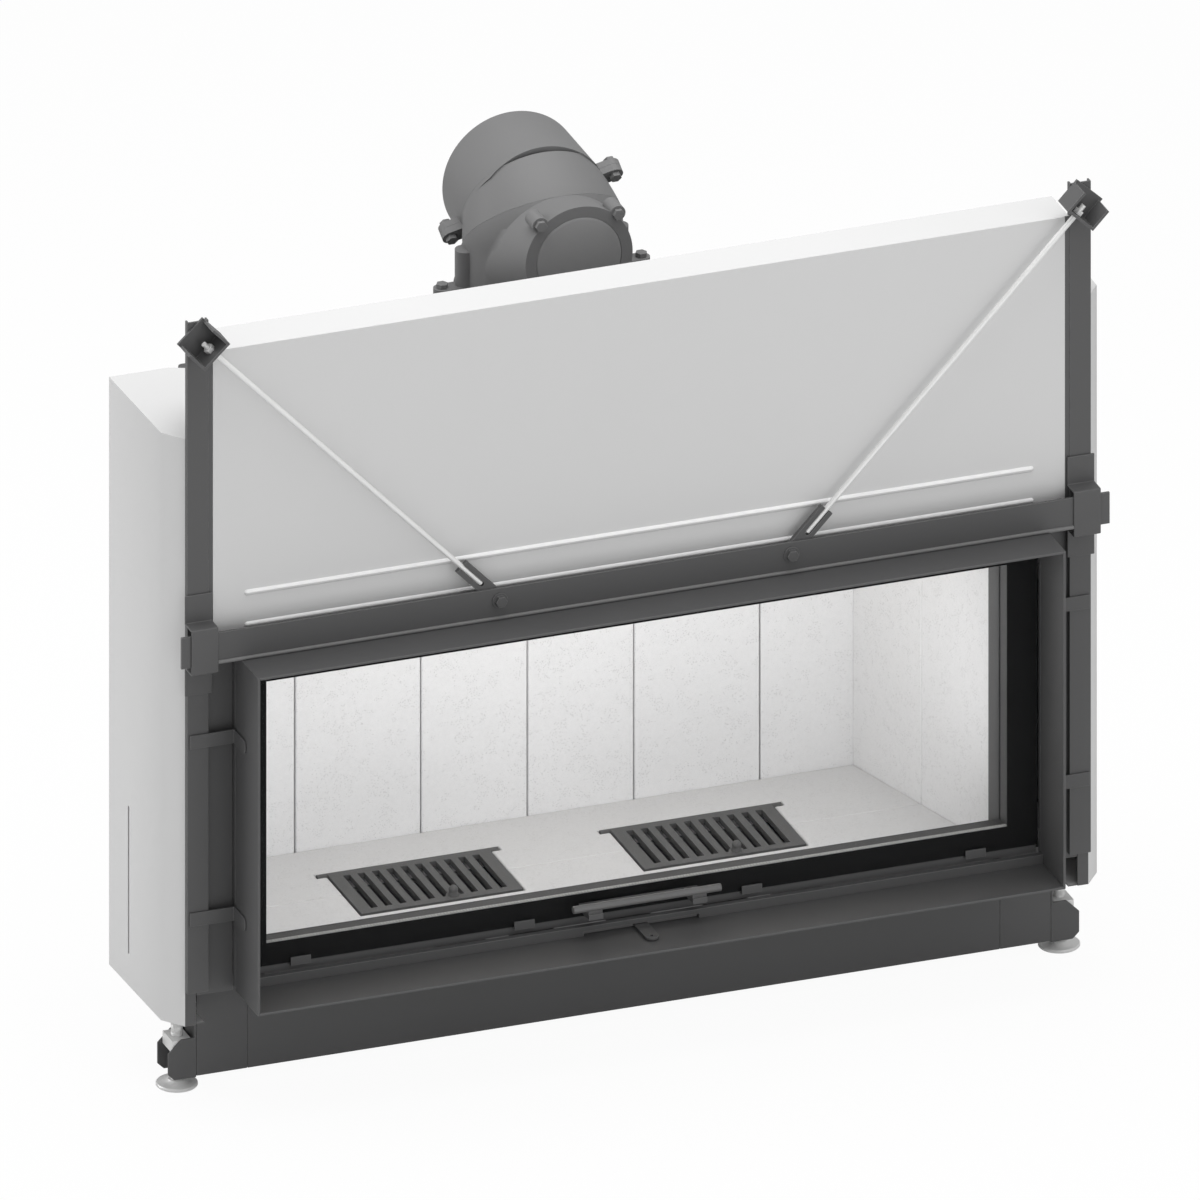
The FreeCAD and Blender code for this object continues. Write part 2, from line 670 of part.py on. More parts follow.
def lift_ropes():
    front, rear = V(ROPE_X, ROPE_FRONT_Y, PULLEY_Z), V(ROPE_X, ROPE_REAR_Y, PULLEY_Z)
    end = Part.Face(Part.Wire(Part.makeCircle(ROPE_R, rear, V(0, 0, 1))))
    wrap = end.revolve(V(ROPE_X, PULLEY_Y, PULLEY_Z), V(1, 0, 0), 180)
    down = rod(V(ROPE_X, ROPE_FRONT_Y, ANCHOR_TOP), front, ROPE_R)
    up = rod(V(ROPE_X, ROPE_REAR_Y, WEIGHT_TOP), rear, ROPE_R)
    return both([wrap.fuse([down, up]).removeSplitter()])


def counterweight():
    side, z1 = ROPE_X + HANGER_T / 2, WEIGHT_TOP - HANGER_H
    hanger = box(ROPE_X - HANGER_T / 2, side, ROPE_REAR_Y - HANGER_W / 2, ROPE_REAR_Y + HANGER_W / 2,
                 z1 - WEIGHT_H / 2, WEIGHT_TOP)
    y0 = ROPE_REAR_Y - WEIGHT_FRONT
    block = box(side, side + WEIGHT_T, y0, y0 + WEIGHT_D, z1 - WEIGHT_H, z1)
    return [round_edges(block, WEIGHT_EDGE, upright).fuse(hanger)]


# Firebox, lining, grates and ash pans

WALL_BACK = FIRE_WALL_Y + FIRE_SHEET
BRICK_BACK = FIRE_BACK_Y + BACK_BRICK
SHELL_BACK = FIRE_DEPTH - FIRE_SHEET
SHELL_TOP = FIRE_TOP - FIRE_SHEET
PAN_TOP = PAN_Z + PAN_T
FLOOR_TOP = PAN_TOP + FLOOR_BRICK
GRATE_AXIS_Y = GRATE_Y + GRATE_L
GRATE_AXIS_Z = PAN_TOP + LEDGE_Z + GRATE_R + GRATE_REST
POCKET_Y = (GRATE_Y - GRATE_SIDE_GAP, GRATE_AXIS_Y + GRATE_R + GRATE_SIDE_GAP)
ASH_Y = sum(POCKET_Y) / 2


def lining_x(y):
    """Half width between the side bricks at a depth."""
    return FIRE_BACK_X + FIRE_TAPER * (FIRE_BACK_Y - y)


def steel_x(y):
    """Half width inside the steel shell at a depth."""
    return lining_x(y) + SIDE_BRICK


def trapezoid(half_width, y0, y1, extra=0.0):
    """Plan outline that narrows towards the back."""
    a, b = half_width(y0) + extra, half_width(y1) + extra
    return [(-a, y0), (a, y0), (b, y1), (-b, y1)]


def flank(y0, y1, inner, outer):
    """Plan outline of a wall along the right side, between two offsets from the lining's face."""
    return [(lining_x(y0) + inner, y0), (lining_x(y0) + outer, y0),
            (lining_x(y1) + outer, y1), (lining_x(y1) + inner, y1)]


def shell_side():
    return plan_prism(flank(WALL_BACK, FIRE_DEPTH, SIDE_BRICK, SIDE_BRICK + FIRE_SHEET), PAN_Z, SHELL_TOP)


def firebox_shell():
    half = FIRE_OPENING[0] + FIRE_SHEET
    outer = steel_x(WALL_BACK) + FIRE_SHEET
    jamb = box(half, outer, FIRE_WALL_Y, WALL_BACK, PAN_Z, SHELL_TOP)
    apron = box(-half, half, FIRE_WALL_Y, WALL_BACK, PAN_Z, APRON_Z)
    head = box(-half, half, FIRE_WALL_Y, WALL_BACK, FIRE_OPENING[2] + FIRE_SHEET, SHELL_TOP)
    back = plan_prism(trapezoid(steel_x, SHELL_BACK, FIRE_DEPTH), PAN_Z, SHELL_TOP)
    ribs = [box(x - RIB_W / 2, x + RIB_W / 2, FIRE_DEPTH, FIRE_DEPTH + RIB_T, PAN_Z + RIB_W, SHELL_TOP - RIB_W)
            for x in RIB_XS]
    return both([jamb, shell_side()]) + [apron, head, back] + ribs


def firebox_floor():
    """Five plates that leave a hole for each ash pan."""
    inner, outer = GRATE_X - ASH_W / 2 - ASH_PLAY, GRATE_X + ASH_W / 2 + ASH_PLAY
    y0, y1 = ASH_Y - ASH_D / 2 - ASH_PLAY, ASH_Y + ASH_D / 2 + ASH_PLAY
    outlines = [trapezoid(steel_x, WALL_BACK, y0), trapezoid(steel_x, y1, SHELL_BACK)]
    outlines += [[(-inner, y0), (inner, y0), (inner, y1), (-inner, y1)]]
    side = plan_prism([(outer, y0), (steel_x(y0), y0), (steel_x(y1), y1), (outer, y1)], PAN_Z, PAN_TOP)
    return [plan_prism(outline, PAN_Z, PAN_TOP) for outline in outlines] + both([side])


def firebox_top():
    half = steel_x(WALL_BACK) + FIRE_SHEET
    outline = [(-half, FIRE_WALL_Y), (half, FIRE_WALL_Y)] + trapezoid(steel_x, WALL_BACK, FIRE_DEPTH, FIRE_SHEET)[1:]
    outline += [(-half, WALL_BACK)]
    plate = plan_prism(outline, SHELL_TOP, FIRE_TOP)
    return [plate.cut(Part.makeCylinder(FLUE_R - FLUE_WALL, FIRE_SHEET, V(0, FLUE_Y, SHELL_TOP)))]


def firebox_front():
    half, low, high = FIRE_OPENING
    y0, y1 = FRONT_FLANGE_Y, FRONT_FLANGE_Y + FIRE_SHEET
    edge = (SLEEVE_X + FLANGE_WIDER, SLEEVE_BASE + FLANGE_RISE, GLASS_Z1)
    flange = mitred_ring(edge, FIRE_OPENING, y0, y1)
    t = FIRE_SHEET
    side = side_prism([(y1, low - t), (WALL_BACK, APRON_Z), (WALL_BACK, high + t), (y1, high + t)], half, half + t)
    head = box(-half, half, y1, WALL_BACK, high, high + t)
    ledge = box(-half, half, y1, LEDGE_BACK, low - t, low)
    slope = [(LEDGE_BACK, low), (LEDGE_BACK, low - t), (FIRE_WALL_Y, APRON_Z - t), (FIRE_WALL_Y, APRON_Z)]
    return flange + both([side]) + [head, ledge, side_prism(slope, -half, half)]


def slab(x0, x1):
    """Back slab between two joints, with its two front edges eased."""
    g, y0, y1 = BRICK_GROOVE, FIRE_BACK_Y, BRICK_BACK
    outline = [(x0 + g, y0), (x1 - g, y0), (x1, y0 + g), (x1, y1), (x0, y1), (x0, y0 + g)]
    return plan_prism(outline, PAN_TOP, BRICK_TOP)


def back_bricks():
    gap, g = BRICK_GAP / 2, BRICK_GROOVE
    last = BACK_JOINTS[-1] + gap
    end = [(last + g, FIRE_BACK_Y), (lining_x(FIRE_BACK_Y), FIRE_BACK_Y), (lining_x(BRICK_BACK), BRICK_BACK)]
    end += [(last, BRICK_BACK), (last, FIRE_BACK_Y + g)]
    middle = [slab(x0 + gap, x1 - gap) for x0, x1 in zip(BACK_JOINTS, BACK_JOINTS[1:])]
    return both([plan_prism(end, PAN_TOP, BRICK_TOP)]) + middle


def back_insulation():
    return [plan_prism(trapezoid(steel_x, BRICK_BACK, SHELL_BACK), PAN_TOP, BRICK_TOP)]


def side_bricks():
    spans = ((WALL_BACK, BRICK_JOINT_Y), (BRICK_JOINT_Y, BRICK_BACK))
    return both([plan_prism(flank(y0, y1, 0, SIDE_BRICK), PAN_TOP, BRICK_TOP) for y0, y1 in spans])


def grate_pocket():
    """Stepped hole in the floor for the right grate, its pivot ears and the ash pan under it."""
    half = GRATE_W / 2 + GRATE_SIDE_GAP
    y0, y1 = POCKET_Y
    ledge = PAN_TOP + LEDGE_Z
    ear = half + GRATE_EAR
    ear_y = GRATE_AXIS_Y - GRATE_R - GRATE_SIDE_GAP
    pocket = box(GRATE_X - half, GRATE_X + half, y0, y1, ledge, FLOOR_TOP)
    pocket = pocket.fuse(box(GRATE_X - ear, GRATE_X + ear, ear_y, y1, ledge, FLOOR_TOP))
    throat = box(GRATE_X - half + LEDGE_W, GRATE_X + half - LEDGE_W, y0 + LEDGE_W, y1 - LEDGE_W, PAN_TOP, ledge)
    return pocket.fuse(throat)


def floor_bricks():
    rows = ((WALL_BACK, BRICK_JOINT_Y), (BRICK_JOINT_Y, FIRE_BACK_Y))
    pocket = grate_pocket()
    bricks = [plan_prism(trapezoid(lining_x, y0, y1), PAN_TOP, FLOOR_TOP) for y0, y1 in rows]
    return [brick.cut(pocket).cut(mirrored(pocket)) for brick in bricks]


def baffle_plate():
    return [plan_prism(trapezoid(steel_x, BAFFLE_FRONT, BRICK_BACK, -BAFFLE_PLAY), BRICK_TOP, BRICK_TOP + BAFFLE_T)]


def grate(side):
    """Slotted grate with pivot ears along its back edge; side is 1 on the right and -1 on the left."""
    half = GRATE_W / 2
    x, y, z, r = side * GRATE_X, GRATE_AXIS_Y, GRATE_AXIS_Z, GRATE_R
    plate = box(x - half, x + half, GRATE_Y, y, z - r, z + r)
    pivot = rod(V(x - half - GRATE_EAR, y, z), V(x + half + GRATE_EAR, y, z), r)
    pitch = (GRATE_W - 2 * GRATE_RIM) / GRATE_SLOTS
    slots = []
    for k in range(GRATE_SLOTS):
        middle = x - half + GRATE_RIM + (k + 0.5) * pitch
        slots.append(box(middle - GRATE_SLOT_W / 2, middle + GRATE_SLOT_W / 2,
                         GRATE_Y + GRATE_RIM, y - GRATE_RIM, z - r, z + r))
    knob_x = x + KNOB_SHIFT
    knob_y = GRATE_Y + GRATE_RIM
    pad = Part.makeCylinder(KNOB_R * 1.6, 2 * r, V(knob_x, knob_y, z - r))
    pad = pad.common(box(x - half, x + half, GRATE_Y, y, z - r, z + r))
    stem = Part.makeCone(KNOB_R * 1.2, KNOB_R * 0.8, KNOB_H, V(knob_x, knob_y, z + r))
    ball = Part.makeSphere(KNOB_R, V(knob_x, knob_y, z + r + KNOB_H))
    return [plate.cut(slots).fuse([pivot, pad, stem, ball]).removeSplitter()]


def ash_block(extra, z0, z1):
    """Block of the right ash pan's plan size, grown on every side."""
    w, d = ASH_W / 2 + extra, ASH_D / 2 + extra
    return box(GRATE_X - w, GRATE_X + w, ASH_Y - d, ASH_Y + d, z0, z1)


def ash_pans():
    base = PAN_TOP - ASH_H
    pan = ash_block(0, base, PAN_TOP).fuse(ash_block(ASH_RIM, PAN_TOP, PAN_TOP + ASH_SHEET))
    return both([pan.cut(ash_block(-ASH_SHEET, base + ASH_SHEET, PAN_TOP + ASH_SHEET))])


# Side casings

def side_casing():
    """Right casing: one folded sheet round the counterweight's shaft, with a top and a bottom plate."""
    out = POST_OUT + CASE_OUT
    tail = (steel_x(CASE_TAIL_Y) + FIRE_SHEET, CASE_TAIL_Y)
    folds = [(POST_OUT - CASE_LIP, POST_D), (POST_OUT, POST_D), (out - CASE_FLARE, POST_D + CASE_CHAMFER)]
    folds += [(out, CASE_D), (out - CASE_RETURN, CASE_D), tail]
    inside = thickened(folds, CASE_SHEET)
    wall = plan_prism(folds + inside[::-1], CASE_BASE, CASE_TOP)
    throat = POST_X + PLATE_GAP
    cover = inside[1:] + [(steel_x(WALL_BACK) + FIRE_SHEET + 1, CASE_THROAT_Y), (throat, CASE_THROAT_Y)]
    cover += [(throat, inside[0][1]), inside[0]]
    plates = [plan_prism(cover, z, z + CASE_SHEET) for z in (CASE_BASE, CASE_TOP - CASE_SHEET)]
    slot = Part.makeCylinder(CASE_ROPE_R, CASE_SHEET, V(ROPE_X, ROPE_REAR_Y, CASE_TOP - CASE_SHEET))
    reach = plan_prism(flank(0, FIRE_DEPTH, -FIRE_BACK_X, SIDE_BRICK + FIRE_SHEET), CASE_BASE, CASE_TOP)
    below = box(0, out, 0, FIRE_DEPTH, CASE_BASE, FIRE_TOP)
    return wall.fuse(plates).cut(slot).cut(reach.common(below)).removeSplitter()


def side_casing_right():
    return [side_casing()]


def side_casing_left():
    y, width, z0, z1 = CASE_SLIT
    slit = box(POST_OUT, POST_OUT + CASE_OUT, y - width / 2, y + width / 2, z0, z1)
    return [mirrored(side_casing().cut(slit))]


# Combustion air

LEVER_Z = SLEEVE_FLOOR + LEVER_LIFT
SLIDE_Y = FRONT_FLANGE_Y + SLIDE_GAP
DUCT_Y = SLIDE_Y + SLIDE_T + SLIDE_GAP
PLINTH_BACK = PLINTH_Y + PLINTH_T


def sill():
    half = SLEEVE_X - SLEEVE_SHEET
    bar = box(-half, half, -SILL_D, 0, SLEEVE_FLOOR, SLEEVE_FLOOR + SILL_H)
    slot = LEVER_SLOT / 2
    return [bar.cut(box(-slot, slot, -SILL_D, 0, SLEEVE_FLOOR, LEVER_Z + LEVER_T + LEVER_LIFT))]


def air_lever():
    r, tip = LEVER_W / 2, -LEVER_REACH + LEVER_W / 2
    bar = box(-r, r, tip, SLIDE_Y, LEVER_Z, LEVER_Z + LEVER_T)
    bar = bar.fuse(Part.makeCylinder(r, LEVER_T, V(0, tip, LEVER_Z)))
    return [bar.cut(Part.makeCylinder(r / 4, LEVER_T, V(0, tip, LEVER_Z))).removeSplitter()]


def air_ports(y0, y1):
    """Row of air holes through a wall between two depths."""
    z0, z1 = SLIDE_Z[0] + PORT_EDGE, LEVER_Z - PORT_EDGE / 2
    return [box(x - PORT_W / 2, x + PORT_W / 2, y0, y1, z0, z1) for x in PORT_XS]


def air_slide():
    plate = box(-SLIDE_HALF, SLIDE_HALF, SLIDE_Y, SLIDE_Y + SLIDE_T, *SLIDE_Z)
    return [plate.cut(air_ports(SLIDE_Y, SLIDE_Y + SLIDE_T))]


def air_duct():
    t, half = DUCT_SHEET, DUCT_HALF
    z0, z1 = PAN_TOP + t, DUCT_TOP - t
    rail = SLIDE_HALF + SLIDE_RUN
    low, high = SLIDE_Z[0] - SLIDE_GAP, SLIDE_Z[1] + SLIDE_GAP
    lip = SLIDE_Y - SLIDE_GAP - RAIL_LIP
    track = [(DUCT_Y, low - 2 * RAIL_LIP), (lip, low - 2 * RAIL_LIP), (lip, low + 2 * RAIL_LIP)]
    track += [(lip + RAIL_LIP, low + 2 * RAIL_LIP), (lip + RAIL_LIP, low), (DUCT_Y, low)]
    top = box(-rail, rail, lip + RAIL_LIP, DUCT_Y, high, DUCT_TOP)
    front = box(-half, half, DUCT_Y, DUCT_Y + t, z0, z1).fuse([side_prism(track, -rail, rail), top])
    front = front.cut(air_ports(DUCT_Y, DUCT_Y + t)).removeSplitter()
    floor = box(-half, half, DUCT_Y, FIRE_WALL_Y, PAN_TOP, z0).cut(riser_port(PAN_TOP, z0))
    roof = box(-half, half, DUCT_Y, FIRE_WALL_Y, z1, DUCT_TOP)
    rear = box(-half, half, FIRE_WALL_Y - t, FIRE_WALL_Y, z0, z1)
    end = box(half - t, half, DUCT_Y + t, FIRE_WALL_Y - t, z0, z1)
    return [front, floor, roof, rear] + both([end])


def riser_port(z0, z1):
    """Way for the air from the chamber up into the duct."""
    half = CHAMBER_HALF - 2 * CHAMBER_SHEET
    return box(-half, half, PLINTH_BACK + CHAMBER_SHEET, FIRE_WALL_Y - CHAMBER_SHEET, z0, z1)


def air_chamber():
    t, half = CHAMBER_SHEET, CHAMBER_HALF
    shell = box(-half, half, PLINTH_BACK, CHAMBER_BACK, CHAMBER_BASE, PAN_Z)
    shell = shell.fuse(box(-half, half, PLINTH_BACK, FIRE_WALL_Y, PAN_Z, PAN_TOP))
    room = box(t - half, half - t, PLINTH_BACK + t, CHAMBER_BACK - t, CHAMBER_BASE + t, PAN_Z - t)
    mouth = V(0, SPIGOT_Y, CHAMBER_BASE - SPIGOT_L)
    shell = shell.fuse(Part.makeCylinder(SPIGOT_R, SPIGOT_L, mouth))
    bore = Part.makeCylinder(SPIGOT_R - SPIGOT_WALL, SPIGOT_L + t, mouth)
    return [shell.cut([room, bore, riser_port(PAN_Z - t, PAN_TOP)]).removeSplitter()]


# Plinth and feet

def plinth():
    end = box(PLINTH_MID, PLINTH_END, PLINTH_Y, PLINTH_BACK, PLINTH_BASE, PLINTH_END_TOP)
    return both([end]) + [box(-PLINTH_MID, PLINTH_MID, PLINTH_Y, PLINTH_BACK, PLINTH_BASE, PAN_TOP)]


def foot_brackets():
    t = CHEEK_T
    y0, y1 = PLINTH_Y, PLINTH_Y + CHEEK_SPAN
    x0, (z0, z1) = PLINTH_END + t, CHEEK_Z
    cut = (CHEEK_OUT - x0) / 4
    cheek = [(x0, z0), (CHEEK_OUT - cut, z0), (CHEEK_OUT, z0 + cut), (CHEEK_OUT, z1 - 2 * cut)]
    cheek += [(CHEEK_OUT - 2 * cut, z1), (x0, z1)]
    bracket = box(PLINTH_END, x0, y0, y1, z0, PAN_Z)
    bracket = bracket.fuse([front_prism(cheek, y0, y0 + t), front_prism(cheek, y1 - t, y1)])
    bracket = bracket.fuse(box(PLINTH_MID + PLATE_GAP, PLINTH_END, PLINTH_BACK, y1, PAN_Z - t, PAN_Z))
    half = CHEEK_SPAN / 2
    rear = box(REAR_FOOT_X - half, REAR_FOOT_X + half, REAR_FOOT_Y - half, REAR_FOOT_Y + half, NUT_Z[0] - t, PAN_Z)
    hollow = box(REAR_FOOT_X - half, REAR_FOOT_X + half, REAR_FOOT_Y - half + t, REAR_FOOT_Y + half - t,
                 NUT_Z[0] - t, PAN_Z - t)
    return both([bracket.removeSplitter(), rear.cut(hollow)])


def foot_nuts():
    nuts = []
    for x, y in ((FOOT_X, FOOT_Y), (REAR_FOOT_X, REAR_FOOT_Y)):
        reach = CHEEK_SPAN / 2 - CHEEK_T
        middle = PLINTH_Y + CHEEK_SPAN / 2 if y == FOOT_Y else y
        block = box(x - NUT_W / 2, x + NUT_W / 2, middle - reach, middle + reach, *NUT_Z)
        nuts.append(block.cut(Part.makeCylinder(SPINDLE_R + NUT_PLAY, NUT_Z[1] - NUT_Z[0], V(x, y, NUT_Z[0]))))
    return both(nuts)


def foot(x, y):
    """Adjustable foot: a dished disc under a threaded spindle."""
    section = [(0, 0), (FOOT_R - 1, 0), (FOOT_R, 1), (FOOT_R, FOOT_T / 2), (SPINDLE_R * 1.8, FOOT_T)]
    section += [(SPINDLE_R * 1.5, 2 * FOOT_T), (SPINDLE_R, 2 * FOOT_T), (SPINDLE_R, SPINDLE_TOP), (0, SPINDLE_TOP)]
    return [turned(section, x, y)]


def turned(section, x, y):
    """Outline of radius and height, turned about an upright axis."""
    return face([V(x + r, y, z) for r, z in section]).revolve(V(x, y, 0), V(0, 0, 1), 360)


# Flue

DOME_CENTER = V(0, FLUE_Y, DOME_Z)
ELBOW_AXIS = V(0, math.sqrt(0.5), math.sqrt(0.5))
COLLAR_AXIS = V(0, math.cos(math.radians(COLLAR_TILT)), math.sin(math.radians(COLLAR_TILT)))
NECK_CENTER = V(0, NECK_END[0], NECK_END[1])
COLLAR_CENTER = V(0, NECK_END[0] + (NECK_END[1] - COLLAR_Z) * math.tan(math.radians(COLLAR_TILT)), COLLAR_Z)
EAR_SIDE = V(math.cos(EAR_ROLL), 0, 0) + V(1, 0, 0).cross(COLLAR_AXIS) * math.sin(EAR_ROLL)
DOME_BASE = BASE_RING_TOP + TURN_GAP


def beyond(point, axis):
    """Large block that fills everything on the far side of a plane."""
    size = 4 * FLUE_R
    block = Part.makeBox(size, size, size, V(-size / 2, -size / 2, 0))
    block.Placement = FreeCAD.Placement(point, FreeCAD.Rotation(V(0, 0, 1), axis))
    return block


def dome_base_ring():
    r, inner, t = FLUE_R, FLUE_R - FLUE_WALL, FLUE_FLANGE_T
    foot_r, z0, z1 = FLUE_FLANGE_R, FIRE_TOP, BASE_RING_TOP
    section = [(inner, z0), (foot_r, z0), (foot_r, z0 + t), (r, z0 + 2 * t), (r, z1 - 2 * t), (foot_r, z1 - t)]
    section += [(foot_r, z1), (inner, z1)]
    return [turned(section, 0, FLUE_Y)]


def hatch_points():
    """Centres of the four hatch bolts on the hatch's face."""
    dx, dz = HATCH_BOLT
    return [V(sx * dx, HATCH_FACE, HATCH_Z + sz * dz) for sx in (-1, 1) for sz in (-1, 1)]


def dome_outside():
    """Upright cylinder that ends in a half ball, as one turned form."""
    base, z, r, y = DOME_BASE + FLUE_FLANGE_T / 2, DOME_Z, FLUE_R, FLUE_Y
    slant = r * math.sqrt(0.5)
    arc = Part.Arc(V(r, y, z), V(slant, y, z + slant), V(0, y, z + r)).toShape()
    corners = [V(0, y, z + r), V(0, y, base), V(r, y, base), V(r, y, z)]
    lines = [Part.makeLine(start, end) for start, end in zip(corners, corners[1:])]
    return Part.Face(Part.Wire([arc] + lines)).revolve(V(0, y, 0), V(0, 0, 1), 360)


def hatch_cone(ring_r, dome_r):
    """Oblique cone from the hatch to the middle of the dome, above the dome's flange."""
    rings = ((HATCH_FACE, HATCH_Z, ring_r), (FLUE_Y, HATCH_Z - HATCH_FALL, dome_r))
    cone = Part.makeLoft([Part.Wire(Part.makeCircle(r, V(0, y, z), V(0, 1, 0))) for y, z, r in rings], True, True)
    return cone.cut(box(-FLUE_R, FLUE_R, HATCH_FACE, FLUE_Y, 0, DOME_BASE + FLUE_FLANGE_T))


def dome_casting():
    bosses = [rod(p, p + V(0, BOSS_L, 0), BOSS_R) for p in hatch_points()]
    body = dome_outside().fuse([hatch_cone(HATCH_R, FLUE_R)] + bosses).cut(beyond(DOME_CENTER, ELBOW_AXIS))
    flange = Part.makeCylinder(FLUE_FLANGE_R, FLUE_FLANGE_T, V(0, FLUE_Y, DOME_BASE))
    lug = box(FLUE_R - FLUE_WALL / 2, LUG_X, FLUE_Y - LUG_R, FLUE_Y + LUG_R, DOME_BASE, LUG_TOP)
    lug = lug.fuse(Part.makeCylinder(LUG_R, LUG_TOP - DOME_BASE, V(LUG_X, FLUE_Y, DOME_BASE)))
    side_boss = Part.makeCylinder(SIDE_BOSS_R, SIDE_BOSS_TOP - DOME_BASE, V(FLUE_R, FLUE_Y, DOME_BASE))
    body = body.fuse([flange] + both([lug, side_boss]))
    throat = Part.makeCylinder(THROAT_R, DOME_Z - DOME_BASE, V(0, FLUE_Y, DOME_BASE))
    bore = rod(V(0, HATCH_FACE, HATCH_Z), V(0, FLUE_Y, HATCH_Z), HATCH_BORE)
    seat = rod(V(0, HATCH_FACE, HATCH_Z), V(0, HATCH_FACE + HATCH_LID_T, HATCH_Z), HATCH_LID_R)
    inside = FLUE_R - FLUE_WALL
    hollow = Part.makeSphere(inside, DOME_CENTER).fuse([throat, bore, seat, hatch_cone(HATCH_BORE, inside)])
    return [body.cut(hollow).removeSplitter()]


def hatch_lid():
    r, t = HATCH_LID_R - TURN_GAP, HATCH_LID_T
    section = [(0, t), (r, t), (r, 0), (r - t / 2, -t / 4), (0, -t / 2)]
    points = [V(radius, HATCH_FACE + depth, HATCH_Z) for radius, depth in section]
    return [face(points).revolve(V(0, HATCH_FACE, HATCH_Z), V(0, 1, 0), 360)]


def dome_bolts():
    heads = [hexagon(p, V(0, -1, 0), HEAD_R, HEAD_T) for p in hatch_points()]
    return heads + both([hexagon(V(LUG_X, FLUE_Y, LUG_TOP), V(0, 0, 1), HEAD_R, HEAD_T)])


def neck_loft(shrink):
    """Solid that runs from the dome's slanted face to the collar's face, less a wall thickness."""
    mid = V(0, NECK_MID[0], NECK_MID[1])
    middle_axis = ELBOW_AXIS + COLLAR_AXIS
    rings = ((DOME_CENTER + ELBOW_AXIS * TURN_GAP, ELBOW_AXIS, FLUE_R), (mid, middle_axis, NECK_MID[2]),
             (NECK_CENTER, COLLAR_AXIS, NECK_END[2]))
    wires = [Part.Wire(Part.makeCircle(r - shrink, center, axis)) for center, axis, r in rings]
    return Part.makeLoft(wires, True, False)


def collar_bar(radius, y1):
    """Round bar on the outlet's axis, from inside the neck to a depth."""
    return rod(V(0, FLUE_Y, COLLAR_Z), V(0, y1, COLLAR_Z), radius)


def collar_ears(start, end):
    """Pair of rounded clamp ears between two distances along the collar's slanted axis."""
    base = COLLAR_CENTER + COLLAR_AXIS * start
    across = COLLAR_AXIS.cross(EAR_SIDE)
    depth = COLLAR_AXIS * (end - start)
    ears = []
    for sign in (-1, 1):
        root, tip = base + EAR_SIDE * (sign * EAR_ROOT), base + EAR_SIDE * (sign * EAR_X)
        ear = face([root + across * EAR_R, tip + across * EAR_R, tip - across * EAR_R, root - across * EAR_R])
        ears.append(ear.extrude(depth).fuse(rod(tip, tip + depth, EAR_R)).removeSplitter())
    return ears


def elbow_lip():
    """Turned ring at the foot of the neck that centres it in the dome's slanted mouth."""
    radius = FLUE_R - FLUE_WALL - 2 * TURN_GAP
    tip, foot = DOME_CENTER - ELBOW_AXIS * LIP_L, DOME_CENTER + ELBOW_AXIS * TURN_GAP
    end = foot + ELBOW_AXIS * LIP_T
    return rod(tip, end, radius).fuse(rod(foot, end, radius + NECK_WALL)).cut(rod(tip, end, radius - LIP_T))


def elbow_neck():
    far = beyond(NECK_CENTER, COLLAR_AXIS)
    near = beyond(NECK_CENTER - COLLAR_AXIS * NECK_WALL, COLLAR_AXIS * -1)
    rim = collar_bar(COLLAR_R, OUTLET_RIM).cut(far).cut(near)
    neck = neck_loft(0).fuse([rim] + collar_ears(-EAR_T, 0))
    return [neck.cut(neck_loft(NECK_WALL)).fuse(elbow_lip()).removeSplitter()]


def outlet_collar():
    near = beyond(NECK_CENTER, COLLAR_AXIS * -1)
    collar = collar_bar(COLLAR_R, OUTLET_RIM).cut(near).fuse(collar_ears(0, EAR_T))
    socket = rod(V(0, OUTLET_RIM - SOCKET_L, COLLAR_Z), V(0, OUTLET_RIM, COLLAR_Z), SOCKET_R)
    return [collar.cut(collar_bar(COLLAR_BORE, OUTLET_RIM)).cut(socket).removeSplitter()]


def collar_bolts():
    bolts = []
    for sign in (-1, 1):
        tip = COLLAR_CENTER + EAR_SIDE * (sign * EAR_X)
        bolts.append(hexagon(tip - COLLAR_AXIS * EAR_T, COLLAR_AXIS * -1, HEAD_R, HEAD_T))
        bolts.append(hexagon(tip + COLLAR_AXIS * EAR_T, COLLAR_AXIS, HEAD_R, HEAD_T))
    return bolts


PIECES = (
    front_frame, posts, front_plates, lintel_rail, rail_clips, hood_panel, hood_shell, tie_rods, tie_forks,
    corner_brackets, brace_fasteners, frame_straps, door_glass, glass_mask, door_frame, door_seals,
    glass_clips, handle_bar, handle_brackets, rope_anchors, guide_shoes, lift_guides, lift_pulleys,
    sync_shaft, lift_ropes, firebox_shell, firebox_floor, firebox_top, firebox_front, back_bricks,
    back_insulation, side_bricks, floor_bricks, baffle_plate, ash_pans, side_casing_right, side_casing_left,
    sill, air_lever, air_slide, air_duct, air_chamber, plinth, foot_brackets, foot_nuts,
    dome_base_ring, dome_casting, hatch_lid, dome_bolts, elbow_neck, outlet_collar, collar_bolts,
)


def build():
    """Every piece by name, as a list of solids."""
    pieces = {piece.__name__: piece() for piece in PIECES}
    for name, side in (("left", -1), ("right", 1)):
        pieces["grate_" + name] = grate(side)
        pieces["foot_front_" + name] = foot(side * FOOT_X, FOOT_Y)
        pieces["foot_rear_" + name] = foot(side * REAR_FOOT_X, REAR_FOOT_Y)
    pieces["counterweight_right"] = counterweight()
    pieces["counterweight_left"] = [mirrored(shape) for shape in counterweight()]
    return pieces


